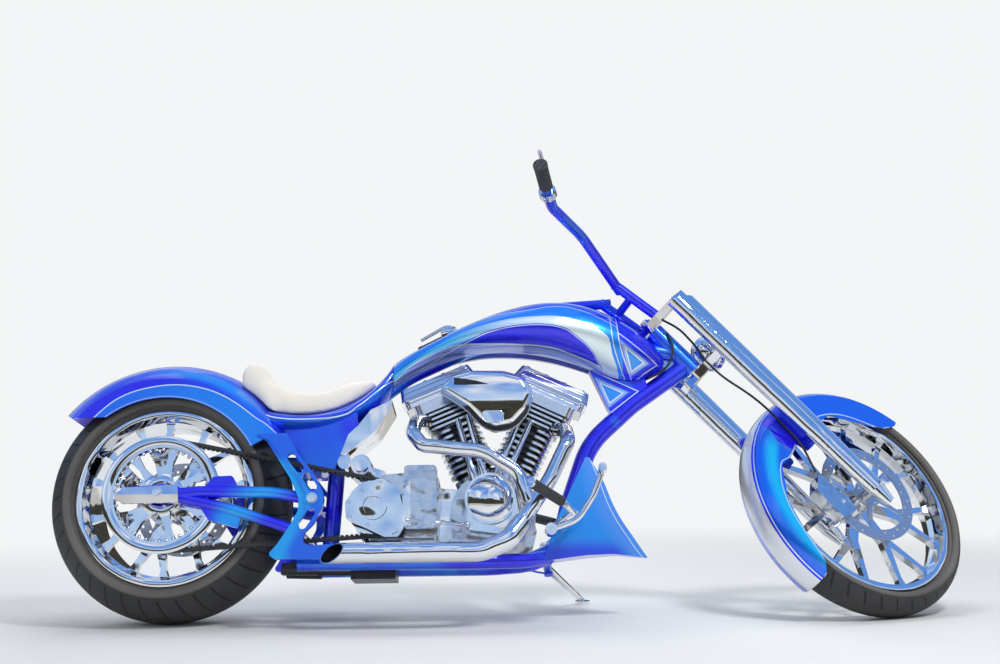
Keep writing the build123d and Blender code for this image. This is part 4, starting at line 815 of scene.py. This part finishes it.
def add_slab(bm, outline, y_near, y_far, bevel=0.0):
    """A flat plate with an outline in X and Z, bevelled round its near face."""
    middle = sum((Vector(spot) for spot in outline), Vector((0, 0))) / len(outline)
    layers = [(y_far, 0.0), (y_near, bevel)]
    if bevel:
        layers.insert(1, (y_near - math.copysign(bevel, y_near - y_far), 0.0))
    loops = []
    for y, inset in layers:
        spots = [Vector(spot) + (middle - Vector(spot)).normalized() * inset for spot in outline]
        loops.append([bm.verts.new((spot.x, y, spot.y)) for spot in spots])
    close_loops(bm, loops)


# Fasteners, in millimetres. Those on the covers' sides: a face's Y, the head's radius, and places in X and Z
SIDE_SCREWS = [
    (-148, 5, [(900, 264), (899, 368), (922, 394), (982, 397), (1026, 376), (1046, 348), (1040, 308), (988, 251)]),
    (-201, 5, [(640, 385), (586, 362), (548, 328), (552, 286), (688, 244), (697, 352), (604, 263)]),
    (-183, 5, [(722, 262), (790, 262), (790, 384), (722, 384)]),
    (-160, 4, [(716, 428), (788, 428)]),
    (-118, 4, [(893, 250), (1052, 300)]),
    (168, 5, [(740, 408), (860, 398), (740, 228), (860, 220)]),
]
SIDE_SCREW_H = 4
# Arcs of screws round the primary cover's ends: centre, radius, and first and last angle
PRIMARY_FACE_Y = 168
PRIMARY_ARCS = [(640, 320, 95, 90, 270), (964, 305, 83, -90, 90)]
ROCKER_TOP = 457.5
ROCKER_SCREWS = [(across, y) for across in (-92, -30, 30, 92) for y in (-44, 44)]
# Hexagons on both sides: place, radius and height
CHASSIS_HEXES = [((446, 243, 334), 12, 9), ((0, 229, 359), 11, 8)]
FORK_LENGTH = 727.6
FORK_OFFSET = 72
STEM_NUT_Z = 117
CALIPER_HEXES = [(-56, 42), (-32, 108)]
CALIPER_FACE_Y = -94
LEG_FACE_Y = 147
PINCH_X = 22
PINCH_Y = 128
PINCH_ZS = [90, 102]
# Bolt circles on the wheels: radius, face's Y, the head's radius and height
DISC_BOLTS = 5
REAR_BOLTS = [(39, 145.5, 5, 5), (38, -174, 6, 6)]
FRONT_BOLTS = [(33, -72, 5, 5)]
RIVET_RING_R = 133.5
RIVET_Y = -170
RIVET_R = 5.5

# The gear linkage and the air cleaner's trim, as X and Z of the upright bike in millimetres
ROD_ENDS = [(700, -190, 277), (888, -156, 263)]
ROD_R = 5
ROD_EYE_R = 9
POST_R = 6
POST_ENDS_Y = [-176, -140]
BEAD = [(809, 660), (850, 634), (890, 604), (925, 565), (955, 545), (990, 541), (1030, 552), (1069, 594), (1087, 650)]
BEAD_Y = -146
BEAD_R = 2.6
BADGE = [(934, 590), (944, 596), (990, 596), (1000, 588), (998, 568), (986, 560), (950, 561), (938, 570)]
BADGE_Y = (-178, -170)
BADGE_BEVEL = 1.2
BADGE_RIM_Y = -177
BADGE_RIM_R = 1.6
# Outline and Y of the near-black slab of painted shade in the air cleaner's slot
AIR_SLOT = [(852, 698), (852, 677), (880, 676), (955, 678), (920, 688), (880, 695)]
AIR_SLOT_Y = (-176.8, -174)

# The seat's cushion: how far its mesh is drawn in, in metres, its rounds of smoothing and its cloth frames
SEAT_DRAW_IN = 0.003
SEAT_ROUNDS_BEFORE = 14
SEAT_ROUNDS_AFTER = 40
SEAT_CLOTH_FRAMES = 20
SEAT_LEAST_FACES = 500


def colour_setting(name, description, default):
    return bpy.props.FloatVectorProperty(name=name, description=description, subtype="COLOR", default=default,
                                         min=0.0, max=1.0)


class ChopperColours(bpy.types.PropertyGroup):
    """Colours that a user would change."""

    royal: colour_setting("Royal blue", "Candy paint in its darkest areas", (0.011, 0.003, 0.86))
    azure: colour_setting("Azure", "Candy paint in its lightest areas", (0.0, 0.15, 0.88))
    ice: colour_setting("Ice", "Swoosh and pinstripes", (0.78, 0.9, 0.92))
    haze: colour_setting("Haze", "Grey-blue stripes", (0.36, 0.46, 0.9))
    floor: colour_setting("Floor", "Colour of the studio floor", (0.72, 0.72, 0.72))


class ChopperShapes(bpy.types.PropertyGroup):
    """Sizes that a user would change."""

    seat_swell: bpy.props.FloatProperty(
        name="Seat swell", description="How far the cushion may puff out", subtype="DISTANCE", unit="LENGTH",
        default=0.004, min=0.0, max=0.03)
    seat_grain: bpy.props.FloatProperty(
        name="Seat mesh", description="Size of the cushion's mesh before it is smoothed", subtype="DISTANCE",
        unit="LENGTH", default=0.006, min=0.003, max=0.02)
    rivets: bpy.props.IntProperty(
        name="Pulley rivets", description="Rivets round the belt pulley", default=42, min=7, max=84)


class CHOPPER_OT_paint(bpy.types.Operator):
    """Paints the frame, the bodywork and the bars"""

    bl_idname = "chopper.paint"
    bl_label = "Paint"

    def execute(self, context):
        bike = bike_frame()
        colours = context.scene.chopper_colours
        blues = [tuple(row) for row in (colours.royal, colours.azure, colours.ice, colours.haze)]
        royal, azure, ice, _ = blues
        dress(candy_paint("candy_chassis", bike, royal, azure), "frame_backbone frame_lower_rails oil_tank")
        dress(candy_paint("candy_fork", fork_frame(), royal, (0.0, 0.11, 0.8)), "handlebar fender_brackets")
        dress(web_paint("candy_web", bike, *blues), "frame_down_tube")
        dress(tank_paint("candy_tank", bike, *blues), "fuel_tank")
        dress(shell_paint("candy_shell", bike, *blues), "seat_shell")
        dress(rear_fender_paint("candy_rear_fender", bike, *blues), "rear_fender")
        dress(plate_paint("candy_plates", bike), "side_plates")
        dress(fin_paint("candy_fin", bike, azure, ice), "belly_fin")
        dress(arm_paint("candy_arm", bike, royal), "swingarm")
        dress(front_fender_paint("candy_front_fender", fender_frame(), royal, azure, ice), "front_fender")
        return {"FINISHED"}


class CHOPPER_OT_metal(bpy.types.Operator):
    """Plates, polishes and casts the metal parts"""

    bl_idname = "chopper.metal"
    bl_label = "Metal"

    def execute(self, context):
        bike, fork, rear, front = bike_frame(), fork_frame(), rear_wheel_frame(), front_wheel_frame()
        dress(chrome("chrome_chassis", bike),
              "rear_axle pushrod_tubes belt_cover side_stand foot_controls cam_cover primary_cover "
              "starter_motor drive_pulley oil_tank_shield")
        dress(chrome("chrome_pipes", bike, heat=True), "exhaust_front exhaust_rear")
        dress(domed_chrome("chrome_air_cleaner", bike), "air_cleaner")
        dress(creased_chrome("chrome_covers", bike), "axle_covers")
        dress(ribbed_chrome("chrome_rockers", bike), "rocker_boxes")
        dress(chrome("chrome_fork", fork, wave=0.004), "upper_clamp lower_clamp fork_legs bar_controls front_axle")
        dress(headlamp_metal("lamp_chrome", fork), "headlamp")
        dress(chrome("chrome_rear_rim", rear, rings=((0.252, 0.01),)), "rear_rim")
        dress(chrome("chrome_pulley", rear, rings=((0.159, 0.013), (0.044, 0.02)), wave=0.004), "rear_pulley")
        dress(chrome("chrome_front_rim", front, rings=((0.302, 0.01),), wave=0.01), "front_rim")
        dress(cast_metal("case_metal", bike, (0.74, 0.75, 0.77), 0.16), "crankcase transmission carburettor")
        dress(finned_metal("fin_metal_rear", bike, REAR_LEAN), "cylinder_rear")
        dress(finned_metal("fin_metal_front", bike, FRONT_LEAN), "cylinder_front")
        dress(cast_metal("caliper_metal_rear", bike, ALUMINIUM, 0.12), "rear_caliper")
        dress(cast_metal("caliper_metal_front", fork, ALUMINIUM, 0.12), "front_caliper")
        dress(brushed_disc("disc_steel_rear", rear), "rear_disc")
        dress(brushed_disc("disc_steel_front", front), "front_disc")
        dress(tip_metal("tip_metal", bike), "muffler_tip")
        return {"FINISHED"}


class CHOPPER_OT_rubber(bpy.types.Operator):
    """Tyres, belt, grips, cables and the black parts"""

    bl_idname = "chopper.rubber"
    bl_label = "Rubber and black parts"

    def execute(self, context):
        bike, fork = bike_frame(), fork_frame()
        dress(tyre_rubber("tyre_rear", rear_wheel_frame(), tread_half=0.138, shoulder_r=0.297, spacing=10.0,
                          sweep=46.0), "rear_tyre")
        dress(tyre_rubber("tyre_front", front_wheel_frame(), tread_half=0.056, shoulder_r=0.342, spacing=9.0,
                          sweep=90.0), "front_tyre")
        dress(rubber("belt_rubber", bike, 0.02), "drive_belt")
        dress(ribbed_rubber("grip_rubber", fork, 0.006), "grips")
        dress(ribbed_rubber("peg_rubber", bike, 0.01), "peg_rubbers")
        dress(rubber("hose_rubber_fork", fork, 0.015), "brake_hose")
        dress(rubber("hose_rubber_neck", bike, 0.015), "neck_cable")
        dress(dark_paint("black_paint", bike), "shock_absorbers electrics_box")
        dress(lamp_red("tail_lens", bike), "tail_lamp")
        return {"FINISHED"}


class CHOPPER_OT_seat(bpy.types.Operator):
    """Puffs the seat up from its plain solid"""

    bl_idname = "chopper.seat"
    bl_label = "Seat"

    def execute(self, context):
        shapes = context.scene.chopper_shapes
        source = frame["nodes"]["seat"]
        made = bpy.data.objects.new("seat_pad", source.data.copy())
        context.scene.collection.objects.link(made)
        made.data.materials.clear()
        made.data.materials.append(leather("seat_suede", bike_frame()))
        reshape(made, "REMESH", mode="VOXEL", voxel_size=shapes.seat_grain)
        pull_in(made, SEAT_DRAW_IN)
        puff(context, made, shapes.seat_swell)
        relax(made, SEAT_ROUNDS_AFTER)
        reshape(made, "SUBSURF", levels=1, render_levels=1)
        for face in made.data.polygons:
            face.use_smooth = True
        if len(made.data.polygons) < SEAT_LEAST_FACES:
            raise RuntimeError("the seat's mesh was lost")
        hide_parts("seat")
        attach(made, "chassis")
        return {"FINISHED"}


def apply_modifiers(piece):
    """Keeps what the modifiers make and drops them."""
    shown = piece.evaluated_get(bpy.context.evaluated_depsgraph_get())
    mesh = bpy.data.meshes.new_from_object(shown)
    piece.modifiers.clear()
    piece.data = mesh


def reshape(piece, kind, **settings):
    """Runs one modifier over a piece and keeps what it makes."""
    step = piece.modifiers.new(kind, kind)
    for key, value in settings.items():
        setattr(step, key, value)
    apply_modifiers(piece)


def relax(piece, rounds):
    """Evens out a mesh."""
    reshape(piece, "SMOOTH", factor=0.5, iterations=rounds)


def pull_in(piece, amount):
    """Rounds the pad's corners and takes it in a little, so that the cloth has room to swell."""
    relax(piece, SEAT_ROUNDS_BEFORE)
    normals = [vertex.normal.copy() for vertex in piece.data.vertices]
    for vertex, normal in zip(piece.data.vertices, normals):
        vertex.co = vertex.co - normal * amount


def puff(context, piece, swell):
    """Blows the cushion up as cloth, with each point held within the swell allowed."""
    start = [vertex.co.copy() for vertex in piece.data.vertices]
    cloth = piece.modifiers.new("cloth", "CLOTH")
    cloth.settings.use_pressure = True
    cloth.settings.uniform_pressure_force = 4.0
    cloth.settings.effector_weights.gravity = 0.0
    cloth.settings.quality = 4
    for number in range(SEAT_CLOTH_FRAMES):
        context.scene.frame_set(number + 1)
    apply_modifiers(piece)
    context.scene.frame_set(1)
    for vertex, before in zip(piece.data.vertices, start):
        moved = vertex.co - before
        if moved.length > swell:
            vertex.co = before + moved.normalized() * swell


class CHOPPER_OT_fasteners(bpy.types.Operator):
    """Puts screws and hexagon heads on the chassis and the fork"""

    bl_idname = "chopper.fasteners"
    bl_label = "Fasteners"

    def execute(self, context):
        bm = bmesh.new()
        add_chassis_screws(bm)
        bolts = chrome("bolt_chassis", bike_frame(), rough=0.12)
        make_piece("screws_chassis", bm, bike_frame(), bolts, "chassis")
        bm = bmesh.new()
        add_fork_screws(bm)
        bolts = chrome("bolt_fork", fork_frame(), rough=0.12)
        make_piece("screws_fork", bm, fork_frame(), bolts, "fork")
        return {"FINISHED"}


def add_chassis_screws(bm):
    """Screws on the engine's covers and hexagons on the swingarm's pivot and the rear axle."""
    for y, radius, spots in SIDE_SCREWS:
        for x, z in spots:
            add_screw(bm, (x, y, z), (0, math.copysign(1, y), 0), radius, SIDE_SCREW_H)
    for x, z, arc_r, start, end in PRIMARY_ARCS:
        for number in range(6):
            angle = math.radians(start + (end - start) * number / 5)
            spot = (x + arc_r * math.cos(angle), PRIMARY_FACE_Y, z + arc_r * math.sin(angle))
            add_screw(bm, spot, (0, 1, 0), 5, SIDE_SCREW_H)
    for lean in (REAR_LEAN, FRONT_LEAN):
        sine, cosine = math.sin(math.radians(lean)), math.cos(math.radians(lean))
        for across, y in ROCKER_SCREWS:
            spot = (ENGINE_X * 1000 + across * cosine + ROCKER_TOP * sine, y,
                    ENGINE_Z * 1000 - across * sine + ROCKER_TOP * cosine)
            add_screw(bm, spot, (sine, 0, cosine), 6, 5)
    for side in (-1, 1):
        for (x, y, z), radius, height in CHASSIS_HEXES:
            add_hex(bm, (x, side * y, z), (0, side, 0), radius, height)


def add_fork_screws(bm):
    """The stem's nut, the caliper's bolts, the axle's ends and the clamps' pinch screws."""
    add_hex(bm, (0, 0, STEM_NUT_Z), (0, 0, 1), 13, 9)
    for x, z in CALIPER_HEXES:
        add_hex(bm, (x, CALIPER_FACE_Y, z - FORK_LENGTH), (0, -1, 0), 6, 6)
    for side in (-1, 1):
        add_screw(bm, (FORK_OFFSET, side * LEG_FACE_Y, -FORK_LENGTH), (0, side, 0), 11, 8)
        for z in PINCH_ZS:
            add_screw(bm, (PINCH_X, side * PINCH_Y, z), (-0.6, side, 0), 4, 4)


class CHOPPER_OT_wheel_parts(bpy.types.Operator):
    """Puts rivets on the pulley and bolts on the discs"""

    bl_idname = "chopper.wheel_parts"
    bl_label = "Rivets and disc bolts"

    def execute(self, context):
        rear, front = rear_wheel_frame(), front_wheel_frame()
        bm = bmesh.new()
        for x, z in circle(context.scene.chopper_shapes.rivets, RIVET_RING_R, 0.5):
            add_ball(bm, (x, RIVET_Y, z), RIVET_R)
        add_bolt_circles(bm, REAR_BOLTS)
        make_piece("rivets_rear", bm, rear, chrome("rivets_rear", rear, rough=0.1), "rear_wheel")
        bm = bmesh.new()
        add_bolt_circles(bm, FRONT_BOLTS)
        make_piece("bolts_front", bm, front, chrome("bolts_front", front, rough=0.1), "front_wheel")
        return {"FINISHED"}


def add_bolt_circles(bm, rows):
    for ring_r, y, radius, height in rows:
        for x, z in circle(DISC_BOLTS, ring_r):
            add_screw(bm, (x, y, z), (0, math.copysign(1, y), 0), radius, height)


class CHOPPER_OT_engine_trim(bpy.types.Operator):
    """Adds the shift rod, the air cleaner's bead, badge and slot, the slot as a near-black slab of painted shade, and
    the belt's teeth
    """

    bl_idname = "chopper.engine_trim"
    bl_label = "Engine trim"

    def execute(self, context):
        bike = bike_frame()
        bm = bmesh.new()
        add_bar(bm, *ROD_ENDS, ROD_R)
        for spot, post_y in zip(ROD_ENDS, POST_ENDS_Y):
            add_ball(bm, spot, ROD_EYE_R)
            add_bar(bm, spot, (spot[0], post_y, spot[2]), POST_R)
        add_line(bm, rounded_run([(x, BEAD_Y, z) for x, z in BEAD]), BEAD_R)
        add_slab(bm, BADGE, *BADGE_Y, BADGE_BEVEL)
        add_line(bm, [(x, BADGE_RIM_Y, z) for x, z in BADGE + BADGE[:1]], BADGE_RIM_R)
        make_piece("engine_trim", bm, bike, chrome("trim_chrome", bike, rough=0.1), "chassis")
        bm = bmesh.new()
        # Painted shade: a near-black slab stands for the dark opening of the air cleaner's slot
        add_slab(bm, AIR_SLOT, *AIR_SLOT_Y)
        make_piece("air_slot_shade", bm, bike, dark_paint("slot_painted_shade", bike, 0.006), "chassis")
        bm = bmesh.new()
        add_belt_teeth(bm)
        make_piece("belt_teeth", bm, bike, rubber("tooth_rubber", bike, 0.02), "chassis")
        return {"FINISHED"}


def add_belt_teeth(bm):
    """Blocks along the inner face of the belt's two straight runs."""
    rear = Vector((0, REAR_TYRE_R * 1000))
    front = Vector((GEARBOX_X, GEARBOX_Z))
    apart = front - rear
    tilt = math.atan2(apart.y, apart.x)
    lean = math.asin((REAR_PULLEY_R - DRIVE_PULLEY_R) / apart.length)
    for way in (1, -1):
        angle = tilt + way * (math.pi / 2 - lean)
        out = Vector((math.cos(angle), math.sin(angle)))
        start = rear + out * REAR_PULLEY_R
        end = front + out * DRIVE_PULLEY_R
        run = (end - start).normalized()
        root = run * TOOTH_PITCH * 0.336
        tip = run * TOOTH_PITCH * 0.28
        for number in range(1, int((end - start).length / TOOTH_PITCH)):
            spot = start + run * TOOTH_PITCH * number
            outer, inner = spot + out * 0.5, spot - out * TOOTH_H
            outline = [outer - root, inner - tip, inner + tip, outer + root]
            add_slab(bm, outline, BELT_Y - BELT_HALF + 1, BELT_Y + BELT_HALF - 1)


class CHOPPER_OT_stage(bpy.types.Operator):
    """Adds the floor, the soft lamps, the world and the camera"""

    bl_idname = "chopper.stage"
    bl_label = "Stage"

    def execute(self, context):
        add_floor(tuple(context.scene.chopper_colours.floor))
        add_world(context.scene)
        add_lamps(context.scene)
        add_camera(context.scene)
        context.scene.view_settings.view_transform = "Standard"
        return {"FINISHED"}


def add_floor(colour, reach=14.0):
    """A pale floor that fades into the backdrop."""
    mesh = bpy.data.meshes.new("floor")
    mesh.from_pydata([(-reach, -reach, 0), (reach, -reach, 0), (reach, reach, 0), (-reach, reach, 0)], [],
                     [(0, 1, 2, 3)])
    floor = bpy.data.objects.new("floor", mesh)
    bpy.context.scene.collection.objects.link(floor)
    graph, (x, y, _) = canvas("floor_matt", Matrix.Identity(4))
    grit = graph.noise(260.0, 3.0)
    worn = graph.noise(1.6, 3.0) * 0.08 + graph.ramp(grit, 0.35, 0.7) * 0.1
    matt = graph.surface(base_color=graph.mix(worn, colour, shaded(colour, 0.8)), roughness=0.85,
                         normal=graph.bump(grit, 0.2, 0.001))
    fade = graph.ramp((x * x + y * y) ** 0.5, 1.6, 4.4)
    clear = graph.node("ShaderNodeBsdfTransparent")
    mesh.materials.append(graph.finish(graph.node("ShaderNodeMixShader", None, {0: fade, 1: matt, 2: clear})))


def add_world(scene):
    """Soft light, a plain pale backdrop for the camera and a sky over a dark skyline for reflections."""
    world = bpy.data.worlds.new("studio")
    scene.world = world
    graph = Graph(world)
    path = graph.node("ShaderNodeLightPath")
    camera = Wire(graph, path.socket.node.outputs["Is Camera Ray"])
    glossy = Wire(graph, path.socket.node.outputs["Is Glossy Ray"])
    graph.where = graph.node("ShaderNodeTexCoord", output=0)
    z = graph.split(graph.where)[2]
    skyline = graph.noise(5.0, 4.0) * 0.26 + 0.08
    sky = graph.mix(graph.ramp(z, 0.15, 0.6), (0.6, 0.78, 1.0), (0.14, 0.33, 0.8))
    sky = graph.mix(graph.patches(2.4, 4.0, 0.5, 0.68), sky, (0.95, 0.97, 1.0))
    trees = graph.mix(graph.noise(24.0, 3.0), (0.006, 0.01, 0.007), (0.1, 0.09, 0.075))
    seen = graph.mix(graph.ramp(z - skyline, -0.01, 0.025), trees, sky)
    ground = graph.mix(graph.ramp(z, -1.0, -0.1), (0.12, 0.12, 0.12), (0.58, 0.56, 0.53))
    seen = graph.mix(graph.ramp(z, -0.05, -0.03), ground, seen)
    light, mirrored, shown = (
        graph.node("ShaderNodeBackground", None, {"Color": colour, "Strength": strength})
        for colour, strength in (((0.88, 0.94, 1.0, 1.0), 0.5), (seen, 0.95), ((0.9, 0.91, 0.92, 1.0), 1.0)))
    lit = graph.node("ShaderNodeMixShader", None, {0: glossy, 1: light, 2: mirrored})
    graph.finish(graph.node("ShaderNodeMixShader", None, {0: camera, 1: lit, 2: shown}), "ShaderNodeOutputWorld")


def add_lamps(scene):
    """Four soft lamps. Only the key lamp shows in the plating."""
    rows = [("key", (1.8, -2.4, 3.8), 0.9, 110.0), ("fill", (-3.0, -2.6, 1.8), 2.4, 30.0),
            ("top", (0.0, 0.6, 4.2), 2.4, 55.0), ("rim", (-1.0, 3.4, 2.4), 2.2, 50.0)]
    for name, place, size, power in rows:
        light = bpy.data.lights.new(name, "AREA")
        light.size = size
        light.energy = power
        lamp = bpy.data.objects.new(name, light)
        scene.collection.objects.link(lamp)
        lamp.location = place
        lamp.visible_glossy = name == "key"
        aim = Vector((0, 0, 0.5)) - Vector(place)
        lamp.rotation_euler = aim.to_track_quat("-Z", "Y").to_euler()


def add_camera(scene):
    """The camera that the photo's wheels and frame were solved for."""
    data = bpy.data.cameras.new("camera")
    data.sensor_width = SENSOR
    data.lens = CAMERA_FOCAL_PX * SENSOR / IMAGE_W
    camera = bpy.data.objects.new("camera", data)
    scene.collection.objects.link(camera)
    yaw, pitch, roll = (Matrix.Rotation(math.radians(angle), 3, axis) for angle, axis in (
        (CAMERA_YAW, "Z"), (CAMERA_PITCH, "X"), (CAMERA_ROLL, "Y")))
    right, forward, up = (yaw @ pitch @ roll).transposed()
    matrix = Matrix((right, up, -forward)).transposed().to_4x4()
    matrix.translation = Vector(joint("rear_wheel_spin")["pos_m"]) + Vector(CAMERA_FROM_REAR_AXLE)
    camera.matrix_world = matrix
    scene.camera = camera


class CHOPPER_PT_panel(bpy.types.Panel):
    """Lists the dressing steps"""

    bl_label = "Chopper"
    bl_idname = "CHOPPER_PT_panel"
    bl_space_type = "VIEW_3D"
    bl_region_type = "UI"
    bl_category = "Chopper"

    def draw(self, context):
        for name in STEPS:
            self.layout.operator(f"chopper.{name}")


STEPS = ("paint", "metal", "rubber", "seat", "fasteners", "wheel_parts", "engine_trim", "stage")
CLASSES = (ChopperColours, ChopperShapes, CHOPPER_OT_paint, CHOPPER_OT_metal, CHOPPER_OT_rubber, CHOPPER_OT_seat,
           CHOPPER_OT_fasteners, CHOPPER_OT_wheel_parts, CHOPPER_OT_engine_trim, CHOPPER_OT_stage, CHOPPER_PT_panel)


def register():
    for one in CLASSES:
        bpy.utils.register_class(one)
    bpy.types.Scene.chopper_colours = bpy.props.PointerProperty(type=ChopperColours)
    bpy.types.Scene.chopper_shapes = bpy.props.PointerProperty(type=ChopperShapes)


def unregister():
    del bpy.types.Scene.chopper_shapes
    del bpy.types.Scene.chopper_colours
    for one in reversed(CLASSES):
        bpy.utils.unregister_class(one)


def main():
    register()
    for name in STEPS:
        getattr(bpy.ops.chopper, name)()


if __name__ == "__main__":
    main()
